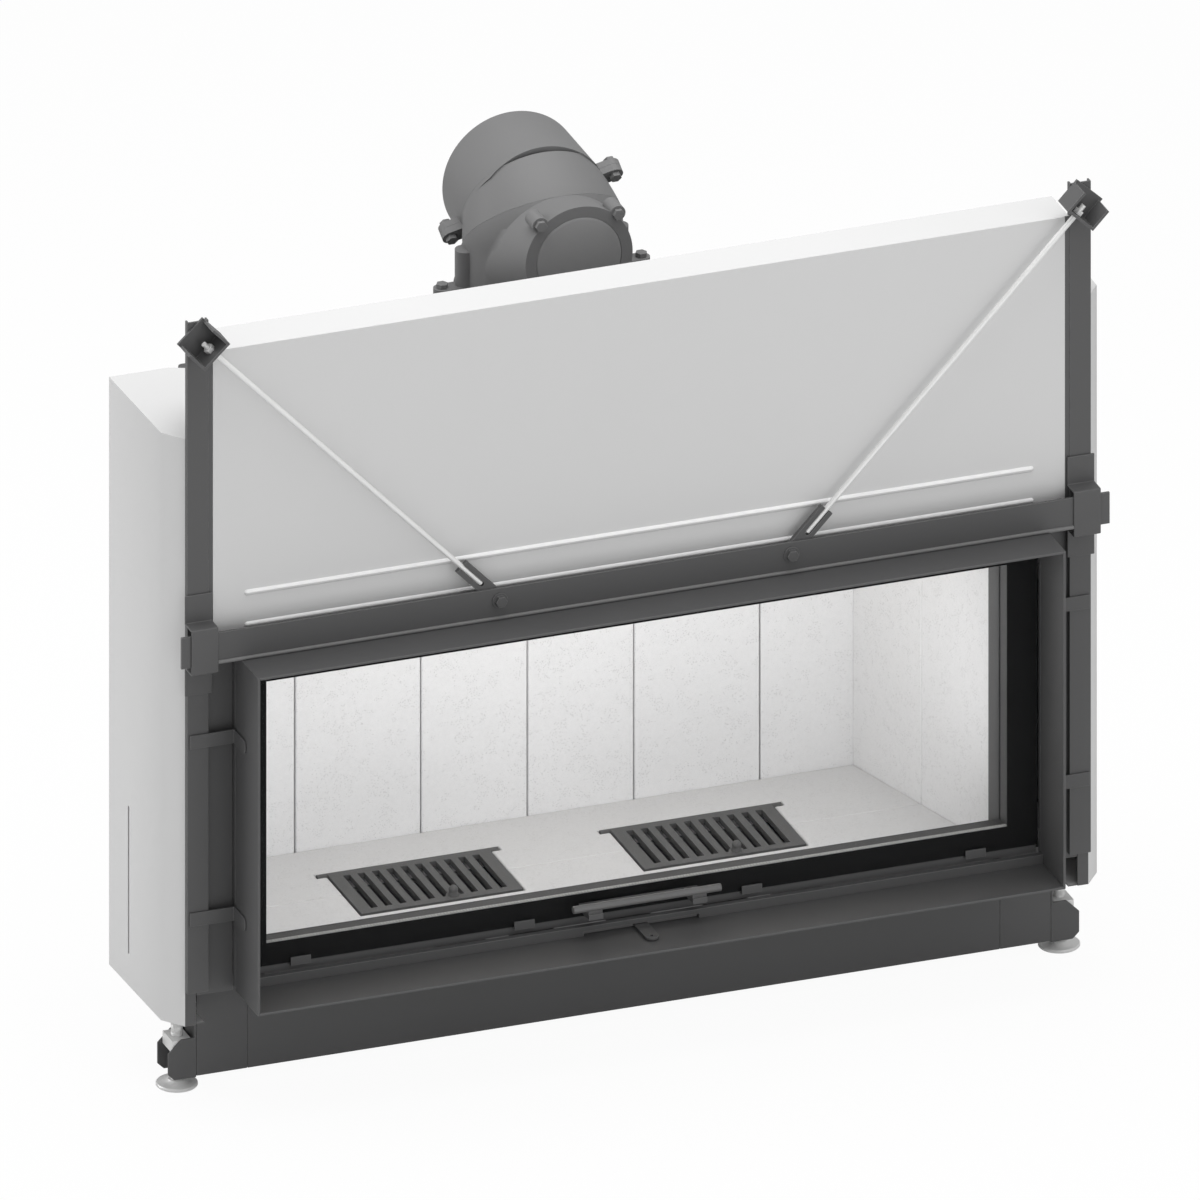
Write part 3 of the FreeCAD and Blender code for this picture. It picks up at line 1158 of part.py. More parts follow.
def main():
    os.makedirs("parts", exist_ok=True)
    for name, shapes in build().items():
        solids = [solid for shape in shapes for solid in shape.Solids]
        piece = solids[0] if len(solids) == 1 else Part.makeCompound(solids)
        piece = piece.copy()
        piece.translate(SHIFT)
        piece.exportStep("parts/" + name + ".step")
        print(name, len(solids), "solids", "valid" if piece.isValid() else "NOT VALID")


main()
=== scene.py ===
"""Looks of a wide lift-door fireplace insert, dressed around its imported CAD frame."""
import json
import logging
import math
from dataclasses import dataclass, replace
from enum import Enum
from functools import cache
from typing import Callable, ClassVar, Iterable, Sequence

import bmesh
import bpy
from bpy.types import ID, Light, Material, Mesh, MeshPolygon, Node, NodeSocket, NodeTree, Object
from mathutils import Matrix, Vector
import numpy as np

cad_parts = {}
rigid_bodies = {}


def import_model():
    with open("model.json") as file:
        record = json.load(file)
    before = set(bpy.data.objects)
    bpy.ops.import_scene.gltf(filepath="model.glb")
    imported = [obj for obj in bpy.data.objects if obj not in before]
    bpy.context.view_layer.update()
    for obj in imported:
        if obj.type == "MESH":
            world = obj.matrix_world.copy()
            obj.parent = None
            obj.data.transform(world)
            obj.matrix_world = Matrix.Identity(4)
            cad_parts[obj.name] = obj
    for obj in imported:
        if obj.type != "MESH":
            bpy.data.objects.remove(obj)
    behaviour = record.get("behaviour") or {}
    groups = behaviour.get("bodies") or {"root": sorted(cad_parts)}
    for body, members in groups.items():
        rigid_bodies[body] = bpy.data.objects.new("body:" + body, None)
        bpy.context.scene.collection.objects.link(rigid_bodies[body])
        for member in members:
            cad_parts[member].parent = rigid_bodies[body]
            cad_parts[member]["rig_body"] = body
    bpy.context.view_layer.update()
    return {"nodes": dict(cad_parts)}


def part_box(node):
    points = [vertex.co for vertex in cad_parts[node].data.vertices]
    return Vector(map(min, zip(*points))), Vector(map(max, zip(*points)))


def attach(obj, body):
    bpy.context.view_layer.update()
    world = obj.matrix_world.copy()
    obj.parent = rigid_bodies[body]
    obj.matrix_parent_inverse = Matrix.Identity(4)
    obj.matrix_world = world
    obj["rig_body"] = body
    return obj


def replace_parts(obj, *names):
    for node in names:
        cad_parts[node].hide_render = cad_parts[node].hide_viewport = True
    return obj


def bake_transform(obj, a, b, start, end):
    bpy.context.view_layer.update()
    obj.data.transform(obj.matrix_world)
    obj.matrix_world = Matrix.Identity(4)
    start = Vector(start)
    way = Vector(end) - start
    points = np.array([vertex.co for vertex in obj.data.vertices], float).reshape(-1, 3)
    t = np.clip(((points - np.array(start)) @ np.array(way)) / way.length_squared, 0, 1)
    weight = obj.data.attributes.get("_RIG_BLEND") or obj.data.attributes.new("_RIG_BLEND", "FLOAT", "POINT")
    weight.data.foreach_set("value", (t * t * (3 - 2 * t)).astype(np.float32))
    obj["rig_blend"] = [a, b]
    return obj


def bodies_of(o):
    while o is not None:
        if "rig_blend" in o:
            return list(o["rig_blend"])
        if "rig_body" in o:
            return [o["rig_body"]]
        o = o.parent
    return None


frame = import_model()

LOG = logging.getLogger("insert")
MM = 0.001
TOUCH = 0.1 * MM
FLAT_ANGLE = math.radians(0.5)
EASE_ANGLE = math.radians(40.0)
EASE_STEPS = 2
STRANDS = 6
BEAD_SPACING = 0.55
WHITE = (1.0, 1.0, 1.0, 1.0)
SHADERS = "ShaderNodeTree"
NUMBER = "NodeSocketFloat"

Point = tuple[float, float, float]
Colour = tuple[float, float, float]


class Axis(Enum):
    """Directions that a fastener can point, as Euler angles that turn +Z there."""

    BACK = (-math.pi / 2, 0.0, 0.0)
    UP = (0.0, 0.0, 0.0)


class Ease(Enum):
    """Radius in millimetres that a kind of part has on its edges."""

    SHEET = 0.7
    PLATE = 1.3
    CAST = 2.2
    FINE = 0.4
    BRICK = 2.6
    GLASS = 1.0


class Outline(Enum):
    """Plan of a ring of points in a turned or six-sided part."""

    ROUND = "round"
    HEX = "hex"

    def reach(self, angle: float) -> float:
        """Returns the plan's reach at an angle, as a share of its largest radius."""
        hexagon = math.cos(math.pi / 6) / math.cos(angle % (math.pi / 3) - math.pi / 6)
        return hexagon if self is Outline.HEX else 1.0


# Node graphs


class Graph:
    """Node tree with short calls to add and link nodes."""

    def __init__(self, tree: NodeTree) -> None:
        """Wraps a tree."""
        self.tree = tree

    def add(self, kind: str, **values: object) -> Node:
        """Adds a node.

        Args:
            kind: The node's type name.
            values: Properties of the node, or its inputs by name with _ for a space, as values or sockets.

        Returns:
            The new node.
        """
        node = self.tree.nodes.new(kind)
        for key, value in values.items():
            if hasattr(node, key):
                setattr(node, key, value)
            else:
                self.feed(node.inputs[key.replace("_", " ")], value)
        return node

    def get(self, kind: str, **values: object) -> NodeSocket:
        """Adds a node, and returns its first output."""
        return self.add(kind, **values).outputs[0]

    def feed(self, entry: NodeSocket, value: object) -> None:
        """Links a socket to an input, or sets the input's own value.

        Args:
            entry: The input.
            value: A socket or a value.
        """
        if isinstance(value, NodeSocket):
            self.link(value, entry)
        else:
            entry.default_value = value

    def link(self, start: NodeSocket, end: NodeSocket) -> None:
        """Links an output to an input."""
        self.tree.links.new(start, end)

    def math(self, operation: str, first: object, second: object = 0.0) -> NodeSocket:
        """Adds a Math node.

        Args:
            operation: Blender's name of the operation.
            first: A socket or a number.
            second: A socket or a number.

        Returns:
            The node's output.
        """
        node = self.add("ShaderNodeMath", operation=operation)
        self.feed(node.inputs[0], first)
        self.feed(node.inputs[1], second)
        return node.outputs[0]

    def vector(self, operation: str, first: object, second: object) -> NodeSocket:
        """Adds a Vector Math node.

        Args:
            operation: Blender's name of the operation.
            first: A socket or a vector.
            second: A socket or a vector, or a number for the operation SCALE.

        Returns:
            The node's output.
        """
        node = self.add("ShaderNodeVectorMath", operation=operation)
        self.feed(node.inputs[0], first)
        self.feed(node.inputs["Scale"] if operation == "SCALE" else node.inputs[1], second)
        return node.outputs["Value" if operation == "DOT_PRODUCT" else "Vector"]

    def mix(self, share: NodeSocket, first: object, second: object) -> NodeSocket:
        """Mixes two colours.

        Args:
            share: Socket with the share of the second colour.
            first: A socket or a colour.
            second: A socket or a colour.

        Returns:
            The mixed colour.
        """
        node = self.add("ShaderNodeMix", data_type="RGBA", Factor=share)
        colour_inputs = [s for s in node.inputs if s.type == "RGBA"]
        for socket, value in zip(colour_inputs, (first, second)):
            self.feed(socket, value if isinstance(value, NodeSocket) else (*value, 1.0))
        return next(s for s in node.outputs if s.type == "RGBA")

    def blend(self, share: NodeSocket, first: Node, second: Node) -> Node:
        """Mixes two shaders.

        Args:
            share: Socket with the share of the second shader.
            first: Node of the first shader.
            second: Node of the second shader.

        Returns:
            The mixing node.
        """
        node = self.add("ShaderNodeMixShader", Fac=share)
        self.link(first.outputs[0], node.inputs[1])
        self.link(second.outputs[0], node.inputs[2])
        return node


class Group(Graph):
    """Node group with named inputs and outputs."""

    def __init__(self, name: str, kind: str, inputs: dict[str, float | str], outputs: Iterable[str],
                 result: str = NUMBER) -> None:
        """Makes the group's tree and its sockets.

        Args:
            name: The group's name.
            kind: Blender's name for the kind of tree.
            inputs: Default of each number input, or else the input's socket type.
            outputs: Names of the outputs.
            result: Socket type of the outputs.
        """
        super().__init__(bpy.data.node_groups.new(name, kind))
        sockets = self.tree.interface
        for key, value in inputs.items():
            if isinstance(value, str):
                sockets.new_socket(key, in_out="INPUT", socket_type=value)
            else:
                sockets.new_socket(key, in_out="INPUT", socket_type=NUMBER).default_value = value
        for key in outputs:
            sockets.new_socket(key, in_out="OUTPUT", socket_type=result)
        self.entry, self.leave = self.add("NodeGroupInput"), self.add("NodeGroupOutput")

    def given(self, key: str) -> NodeSocket:
        """Returns one of the group's inputs."""
        return self.entry.outputs[key]

    def put(self, key: str, value: NodeSocket) -> None:
        """Links a socket to one of the group's outputs."""
        self.link(value, self.leave.inputs[key])

    def coords(self) -> NodeSocket:
        """Returns the object coordinates."""
        return self.add("ShaderNodeTexCoord").outputs["Object"]

    def noise(self, key: str, detail: float, roughness: float = 0.5) -> NodeSocket:
        """Returns a noise whose scale is one of the group's inputs."""
        return self.get("ShaderNodeTexNoise", Vector=self.coords(), Scale=self.given(key), Detail=detail,
                        Roughness=roughness)


@cache
def mottle_group() -> Group:
    """Makes the group for slow, cloudy variation and fine grain of one surface.

    Returns:
        The group.
    """
    inputs = {"Cloud scale": 6.0, "Grain scale": 900.0}
    group = Group("surface_mottle", SHADERS, inputs, ("Cloud", "Grain"))
    for key, detail in (("Cloud", 3.0), ("Grain", 2.0)):
        group.put(key, group.noise(key + " scale", detail, 0.6))
    return group


@cache
def speckle_group() -> Group:
    """Makes the group for the scattered dark grains and pits of pressed brick.

    Returns:
        The group, in which the small cores of cells are grains, thinned out by a noise.
    """
    inputs = {"Grain scale": 330.0, "Grain size": 0.27, "Patch scale": 55.0, "Thinning": 0.52}
    group = Group("brick_speckle", SHADERS, inputs, ("Speckle",))
    cells = group.add("ShaderNodeTexVoronoi", Vector=group.coords(), Scale=group.given("Grain scale"))
    core = group.math("LESS_THAN", cells.outputs["Distance"], group.given("Grain size"))
    kept = group.math("GREATER_THAN", group.noise("Patch scale", 2.0), group.given("Thinning"))
    group.put("Speckle", group.math("MULTIPLY", core, kept))
    return group


@cache
def braid_group() -> Group:
    """Makes the group for the crossing yarns of a braided seal.

    Returns:
        The group, which keeps the higher one of two sets of leaning bands.
    """
    group = Group("braided_yarn", SHADERS, {"Yarn scale": 90.0}, ("Braid",))
    bands = []
    for lean in (45.0, -45.0):
        turn = (0.0, math.radians(lean), 0.0)
        turned = group.get("ShaderNodeMapping", Vector=group.coords(), Rotation=turn)
        wave = group.add("ShaderNodeTexWave", Vector=turned, Scale=group.given("Yarn scale"),
                         Distortion=0.6, Detail=1.0)
        bands.append(wave.outputs["Fac"])
    group.put("Braid", group.math("MAXIMUM", *bands))
    return group


@cache
def edge_group() -> Group:
    """Makes the group that masks outer edges, for scuffed paint and for painted edge highlights.

    Returns:
        The group, which compares the rounded normal with the true one, broken up by a noise.
    """
    inputs = {"Width": 1.5 * MM, "Patch scale": 120.0, "Gain": 8.0}
    group = Group("edge_wear", SHADERS, inputs, ("Wear",))
    soft = group.get("ShaderNodeBevel", samples=4, Radius=group.given("Width"))
    true = group.add("ShaderNodeNewGeometry").outputs["Normal"]
    dot = group.vector("DOT_PRODUCT", soft, true)
    rough = group.math("MULTIPLY", group.noise("Patch scale", 3.0), group.given("Gain"))
    wear_and_highlight = group.math("MULTIPLY", group.math("SUBTRACT", 1.0, dot), rough)
    wear_and_highlight.node.use_clamp = True
    group.put("Wear", wear_and_highlight)
    return group


# Finishes


def plain_material(name: str) -> tuple[Material, Node]:
    """Makes a material.

    Args:
        name: The material's name.

    Returns:
        The material and its main shader.
    """
    material = bpy.data.materials.new(name)
    material.use_nodes = True
    return material, material.node_tree.nodes["Principled BSDF"]


@dataclass(frozen=True)
class Finish:
    """Solid finish with cloudy tone, fine grain, lighter edges (scuffs and painted highlight) and, if asked, speckle
    or braid.

    Colours are linear; scales count features in a metre, relief is in millimetres, and the depth of pits
    and yarns is a multiple of the relief.
    """

    name: str
    slot: str
    base: Colour
    worn_and_lit: Colour
    wear_and_highlight: float = 0.25
    tone: float = 0.08
    cloud_scale: float = 5.0
    grain_scale: float = 900.0
    roughness: float = 0.55
    roughness_play: float = 0.1
    relief: float = 0.02
    metallic: float = 0.0
    specular: float = 0.5
    speckle: float = 0.0
    speckle_colour: Colour = (0.3, 0.28, 0.25)
    pit_depth: float = 1.5
    braid: float = 0.0

    @cache
    def material(self) -> Material:
        """Builds the material once.

        Returns:
            The material.
        """
        material, shader = plain_material(self.name)
        graph = Graph(material.node_tree)
        shader.inputs["Metallic"].default_value = self.metallic
        shader.inputs["Specular IOR Level"].default_value = self.specular
        mottle = graph.add("ShaderNodeGroup", node_tree=mottle_group().tree, Cloud_scale=self.cloud_scale,
                           Grain_scale=self.grain_scale)
        cloud, grain = mottle.outputs["Cloud"], mottle.outputs["Grain"]
        colour = graph.mix(cloud, self.shade(1 - self.tone), self.shade(1 + self.tone))
        height = grain
        if self.speckle:
            spots = graph.add("ShaderNodeGroup", node_tree=speckle_group().tree).outputs["Speckle"]
            colour = graph.mix(graph.math("MULTIPLY", spots, self.speckle), colour, self.speckle_colour)
            height = graph.math("SUBTRACT", grain, graph.math("MULTIPLY", spots, self.pit_depth))
        if self.braid:
            yarn = graph.add("ShaderNodeGroup", node_tree=braid_group().tree).outputs["Braid"]
            height = graph.math("ADD", height, graph.math("MULTIPLY", yarn, self.braid))
        # Edge colour: partly scuffed paint, partly a painted highlight on the rounded edges.
        wear_and_highlight = graph.add("ShaderNodeGroup", node_tree=edge_group().tree).outputs["Wear"]
        colour = graph.mix(graph.math("MULTIPLY", wear_and_highlight, self.wear_and_highlight), colour, self.worn_and_lit)
        graph.link(colour, shader.inputs["Base Color"])
        swing = graph.math("MULTIPLY", graph.math("SUBTRACT", cloud, 0.5), 2 * self.roughness_play)
        graph.link(graph.math("ADD", swing, self.roughness), shader.inputs["Roughness"])
        bump = graph.get("ShaderNodeBump", Strength=1.0, Distance=self.relief * MM, Height=height)
        graph.link(bump, shader.inputs["Normal"])
        return material

    def shade(self, factor: float) -> Colour:
        """Returns the base colour times a factor."""
        return tuple(min(channel * factor, 1.0) for channel in self.base)


@dataclass(frozen=True)
class ClearGlass:
    """Clear glass ceramic that lets nearly all light through and keeps a faint gloss."""

    name: str = "clear_glass_ceramic"
    slot: str = "door_glass"
    tint: Colour = (0.02, 0.024, 0.024)
    alpha: float = 0.05
    roughness: float = 0.03
    specular: float = 0.1

    @cache
    def material(self) -> Material:
        """Builds the material once.

        Returns:
            The material.
        """
        material, shader = plain_material(self.name)
        values = {"Base Color": (*self.tint, 1.0), "Roughness": self.roughness,
                  "Specular IOR Level": self.specular, "Alpha": self.alpha}
        for key, value in values.items():
            shader.inputs[key].default_value = value
        return material


# The dark paint's strong light edges are scuffs and also painted highlights on the edges of posts, sleeve and rail.
DARK_PAINT = Finish("dark_heat_paint", "dark_paint", (0.077, 0.077, 0.078), (0.26, 0.26, 0.26), wear_and_highlight=0.6,
                    relief=0.015)
# Lighter copy of the dark paint for the hem on the lintel rail: a painted highlight along its bend.
HEM_HIGHLIGHT_PAINT = replace(DARK_PAINT, name="rubbed_hem", base=(0.15, 0.15, 0.15))
FRONT_PAINT = Finish("handle_paint", "dark_paint", (0.12, 0.12, 0.12), (0.25, 0.25, 0.25), roughness=0.42,
                     relief=0.01)
CAST_IRON = Finish("painted_casting", "cast_iron", (0.145, 0.145, 0.146), (0.26, 0.26, 0.26), wear_and_highlight=0.4,
                   grain_scale=420.0, relief=0.12, roughness=0.6)
# Lighter copy of the cast iron for the hatch lid, which the hood keeps from the lamps: painted light.
LID_IRON_PAINTED_LIGHT = replace(CAST_IRON, name="painted_lid", base=(0.2, 0.2, 0.201))
GRATE_IRON = Finish("raw_casting", "cast_iron", (0.1, 0.1, 0.1), (0.19, 0.19, 0.188), grain_scale=380.0,
                    relief=0.16, roughness=0.62)
PALE_SHEET = Finish("pale_coated_sheet", "pale_sheet", (0.6, 0.6, 0.6), (0.7, 0.7, 0.7), wear_and_highlight=0.15,
                    tone=0.018, cloud_scale=2.5, roughness=0.5, relief=0.012)
# Lighter copy of the pale sheet for the beads' upper sides: a painted highlight where light from above falls.
BEAD_HIGHLIGHT_SHEET = replace(PALE_SHEET, name="burnished_sheet", base=(0.84, 0.84, 0.84))
ZINC = Finish("bright_zinc", "zinc_steel", (0.74, 0.74, 0.735), (0.85, 0.85, 0.85), tone=0.05,
              cloud_scale=30.0, roughness=0.38, metallic=0.25, relief=0.008)
BRICK = Finish("pale_fire_brick", "fire_brick", (0.83, 0.83, 0.835), (0.88, 0.88, 0.885), wear_and_highlight=0.2,
               tone=0.055, cloud_scale=170.0, grain_scale=420.0, roughness=0.9, roughness_play=0.05,
               relief=0.15, specular=0.2, speckle=0.38, speckle_colour=(0.45, 0.45, 0.45))
# Darker copy of the fire brick for the floor of the firebox: painted shade.
SHADED_HEARTH_BRICK = replace(BRICK, name="dusty_hearth_brick", base=(0.7, 0.7, 0.705))
BOARD = Finish("vermiculite_board", "insulation", (0.66, 0.6, 0.5), (0.72, 0.66, 0.56), grain_scale=350.0,
               relief=0.2, roughness=0.92, specular=0.2, speckle=0.6, speckle_colour=(0.42, 0.34, 0.24))
PRINT = Finish("black_glass_print", "glass_print", (0.015, 0.015, 0.0155), (0.03, 0.03, 0.03), wear_and_highlight=0.0,
               roughness=0.5, relief=0.0, specular=0.03)
FIBRE = Finish("fibre_seal", "fibre_seal", (0.52, 0.52, 0.51), (0.6, 0.6, 0.59), tone=0.1, cloud_scale=60.0,
               grain_scale=700.0, relief=0.6, roughness=0.95, specular=0.2, braid=1.4)
ROPE_STEEL = Finish("rope_steel", "steel_rope", (0.42, 0.42, 0.42), (0.6, 0.6, 0.6), metallic=0.8,
                    roughness=0.4)
RAW_STEEL = Finish("mill_scale_steel", "dark_paint", (0.2, 0.2, 0.205), (0.4, 0.4, 0.4), tone=0.2,
                   cloud_scale=14.0, roughness=0.5, metallic=0.6, relief=0.03)
GLASS = ClearGlass()


# Meshes


def linked(name: str, data: ID) -> Object:
    """Adds an object to the scene.

    Args:
        name: The object's name.
        data: Its mesh, lamp or camera.

    Returns:
        The object.
    """
    item = bpy.data.objects.new(name, data)
    bpy.context.collection.objects.link(item)
    return item


def dress(piece: Object, finish: Finish | ClearGlass) -> None:
    """Gives a piece one finish."""
    piece.data.materials.clear()
    piece.data.materials.append(finish.material())


def show(name: str, mesh: Mesh, finish: Finish | ClearGlass) -> Object:
    """Makes a dressed piece.

    Args:
        name: The piece's name.
        mesh: Its mesh, in metres in the row frame.
        finish: Its finish.

    Returns:
        The new object.
    """
    piece = linked(name, mesh)
    dress(piece, finish)
    LOG.info("made %s", name)
    return piece


def place(name: str, mesh: Mesh, body: str, finish: Finish | ClearGlass) -> Object:
    """Makes a dressed piece that rides on a body, and returns it."""
    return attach(show(name, mesh, finish), body)


def repaint(node: str, finish: Finish, chosen: Callable[[MeshPolygon], bool]) -> None:
    """Gives some faces of a node's eased piece a second finish.

    Args:
        node: The node's name.
        finish: The second finish.
        chosen: Says whether a face gets it.
    """
    mesh = bpy.data.objects[node + "_eased"].data
    mesh.materials.append(finish.material())
    for face in mesh.polygons:
        face.material_index = int(chosen(face))


def body_of(node: str) -> str:
    """Returns the body that a CAD node rides on."""
    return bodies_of(frame["nodes"][node])[0]


def corners(node: str) -> tuple[Vector, Vector]:
    """Returns the lowest and the highest corner of a CAD node, in metres."""
    low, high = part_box(node)
    return Vector(low), Vector(high)


def smooth(mesh: Mesh, angle: float = 35.0) -> None:
    """Shades a mesh smooth and keeps edges over an angle in degrees sharp."""
    mesh.shade_smooth()
    mesh.set_sharp_from_angle(angle=math.radians(angle))


def baked(source: Object, name: str) -> Mesh:
    """Applies an object's modifiers, and removes the object.

    Args:
        source: The object.
        name: Name of the mesh to make.

    Returns:
        The resulting mesh.
    """
    depsgraph = bpy.context.evaluated_depsgraph_get()
    mesh = bpy.data.meshes.new_from_object(source.evaluated_get(depsgraph))
    mesh.name = name
    bpy.data.objects.remove(source)
    return mesh


def solid_mesh(node: str) -> Mesh:
    """Copies a CAD node's mesh with each solid's points joined and touching solids kept apart.

    Args:
        node: The node's name.

    Returns:
        The new mesh.
    """
    source = frame["nodes"][node].data
    points, faces, known, open_edges = [], [], {}, set()
    for face in source.polygons:
        ring = []
        for index in face.vertices:
            key = source.vertices[index].co.to_tuple(6)
            if key not in known:
                known[key] = len(points)
                points.append(key)
            ring.append(known[key])
        if len(set(ring)) < 3:
            continue
        faces.append(ring)
        for side in zip(ring, ring[1:] + ring[:1]):
            if side[::-1] in open_edges:
                open_edges.remove(side[::-1])
            else:
                open_edges.add(side)
        if not open_edges:
            known = {}
    mesh = bpy.data.meshes.new(node + "_solids")
    mesh.from_pydata(points, [], faces)
    return mesh


def eased_mesh(node: str, radius: float) -> Mesh:
    """Copies a CAD node's mesh with flat faces joined and sharp edges rounded.

    Args:
        node: The node's name.
        radius: Edge radius in metres.

    Returns:
        The new mesh.
    """
    mesh = solid_mesh(node)
    work = bmesh.new()
    work.from_mesh(mesh)
    bmesh.ops.dissolve_limit(work, angle_limit=FLAT_ANGLE, verts=work.verts, edges=work.edges)
    work.to_mesh(mesh)
    work.free()
    mesh.shade_smooth()
    carrier = linked(node + "_work", mesh)
    bevel = carrier.modifiers.new("ease", "BEVEL")
    bevel.width = radius
    bevel.segments = EASE_STEPS
    bevel.limit_method = "ANGLE"
    bevel.angle_limit = EASE_ANGLE
    bevel.harden_normals = True
    return baked(carrier, node + "_eased")


def ring_stack(name: str, rings: Sequence[tuple[Outline, float, float]], steps: int = 24) -> Mesh:
    """Makes a closed part from rings round the Z axis, first the lowest one.

    Args:
        name: The mesh's name.
        rings: Plan, radius and height of each ring, in metres.
        steps: Points in a ring.

    Returns:
        The mesh, with its last ring closed even where that lies in a recess.
    """
    angles = [2 * math.pi * step / steps for step in range(steps)]
    points = [(plan.reach(a) * radius * math.cos(a), plan.reach(a) * radius * math.sin(a), z)
              for plan, radius, z in rings for a in angles]
    faces = [tuple(reversed(range(steps)))]
    for low in range(0, len(points) - steps, steps):
        for step in range(steps):
            after = (step + 1) % steps
            faces.append((low + step, low + after, low + steps + after, low + steps + step))
    faces.append(tuple(range(len(points) - steps, len(points))))
    mesh = bpy.data.meshes.new(name)
    mesh.from_pydata(points, [], faces)
    smooth(mesh)
    return mesh


# Geometry Nodes for what repeats or follows a path


@dataclass(frozen=True)
class Spot:
    """Place of a small part in metres, and Euler angles that turn its +Z where it points."""

    place: Point
    turn: Point


def spot_row(start: Sequence[float], end: Sequence[float], count: int) -> list[Spot]:
    """Returns evenly spaced spots from start to end that point back."""
    first, last = Vector(start), Vector(end)
    return [Spot(tuple(first.lerp(last, step / (count - 1))), Axis.BACK.value) for step in range(count)]


def spot_mesh(name: str, spots: Sequence[Spot]) -> Mesh:
    """Makes a mesh of loose points that carry each spot's turn.

    Args:
        name: The mesh's name.
        spots: The spots.

    Returns:
        The mesh.
    """
    mesh = bpy.data.meshes.new(name)
    mesh.from_pydata([spot.place for spot in spots], [], [])
    turn = mesh.attributes.new("turn", "FLOAT_VECTOR", "POINT")
    for datum, spot in zip(turn.data, spots):
        datum.vector = spot.turn
    return mesh


def path_mesh(name: str, runs: Sequence[Sequence[Sequence[float]]]) -> Mesh:
    """Makes a mesh of open chains of edges.

    Args:
        name: The mesh's name.
        runs: Points of each chain, in metres.

    Returns:
        The mesh.
    """
    points, edges = [], []
    for run in runs:
        edges += [(len(points) + step, len(points) + step + 1) for step in range(len(run) - 1)]
        points += [tuple(point) for point in run]
    mesh = bpy.data.meshes.new(name)
    mesh.from_pydata(points, edges, [])
    return mesh


class ShapeTree(Group):
    """Geometry Nodes tree with named inputs, which runs once on a carrier mesh."""

    def __init__(self, name: str, inputs: dict[str, float | str]) -> None:
        """Makes the tree, with a carrier and a finish before its own inputs."""
        common = {"Carrier": "NodeSocketGeometry", "Finish": "NodeSocketMaterial"}
        super().__init__(name, "GeometryNodeTree", common | inputs, ("Result",), "NodeSocketGeometry")

    def at_spots(self, shape: NodeSocket) -> NodeSocket:
        """Copies a shape to each spot of the carrier.

        Args:
            shape: Socket with the shape.

        Returns:
            Socket with the copies.
        """
        turn = self.add("GeometryNodeInputNamedAttribute", data_type="FLOAT_VECTOR", Name="turn")
        rotation = self.get("FunctionNodeEulerToRotation", Euler=turn.outputs["Attribute"])
        return self.get("GeometryNodeInstanceOnPoints", Points=self.given("Carrier"), Instance=shape,
                        Rotation=rotation)

    def even_paths(self) -> NodeSocket:
        """Returns curves with evenly spaced points along the carrier's paths."""
        path = self.get("GeometryNodeMeshToCurve", Mesh=self.given("Carrier"))
        return self.get("GeometryNodeResampleCurve", mode="LENGTH", Curve=path, Length=self.given("Step"))

    def sweep(self, curve: NodeSocket, radius: NodeSocket, sides: int) -> NodeSocket:
        """Returns closed tubes along curves, with a polygon as their profile."""
        ring = self.get("GeometryNodeCurvePrimitiveCircle", Resolution=sides, Radius=radius)
        return self.get("GeometryNodeCurveToMesh", Curve=curve, Profile_Curve=ring, Fill_Caps=True)

    def end(self, shape: NodeSocket) -> "ShapeTree":
        """Ends the tree with plain geometry that has the given finish.

        Args:
            shape: Socket with the geometry.

        Returns:
            The tree itself.
        """
        plain = self.get("GeometryNodeRealizeInstances", Geometry=shape)
        self.put("Result", self.get("GeometryNodeSetMaterial", Geometry=plain, Material=self.given("Finish")))
        return self

    def run(self, name: str, carrier: Mesh, finish: Finish, values: dict[str, object]) -> Mesh:
        """Runs the tree.

        Args:
            name: Name of the mesh to make.
            carrier: Mesh that holds the spots or paths.
            finish: The finish of the result.
            values: The tree's inputs by name.

        Returns:
            A plain mesh.
        """
        holder = linked(name + "_work", carrier)
        modifier = holder.modifiers.new("shape", "NODES")
        modifier.node_group = self.tree
        entries = [item for item in self.tree.interface.items_tree if item.in_out == "INPUT"]
        known = {item.name: item.identifier for item in entries}
        for key, value in {"Finish": finish.material(), **values}.items():
            modifier[known[key]] = value
        mesh = baked(holder, name)
        smooth(mesh)
        return mesh


@cache
def fastener_tree() -> ShapeTree:
    """Makes the tree that copies one head to every spot.

    Returns:
        The tree.
    """
    tree = ShapeTree("fastener_rows", {"Head": "NodeSocketObject"})
    head = tree.add("GeometryNodeObjectInfo", Object=tree.given("Head"))
    return tree.end(tree.at_spots(head.outputs["Geometry"]))


@cache
def thread_tree() -> ShapeTree:
    """Makes the tree that winds a screw thread at every spot.

    Returns:
        The tree.
    """
    tree = ShapeTree("screw_threads", {"Radius": 0.008, "Pitch": 0.002, "Length": 0.1})
    turns = tree.math("DIVIDE", tree.given("Length"), tree.given("Pitch"))
    ridge = tree.math("MULTIPLY", tree.given("Pitch"), 0.5)
    core = tree.math("SUBTRACT", tree.given("Radius"), ridge)
    coil = tree.get("GeometryNodeCurveSpiral", Resolution=20, Rotations=turns, Start_Radius=core,
                    End_Radius=core, Height=tree.given("Length"))
    return tree.end(tree.at_spots(tree.sweep(coil, ridge, 4)))


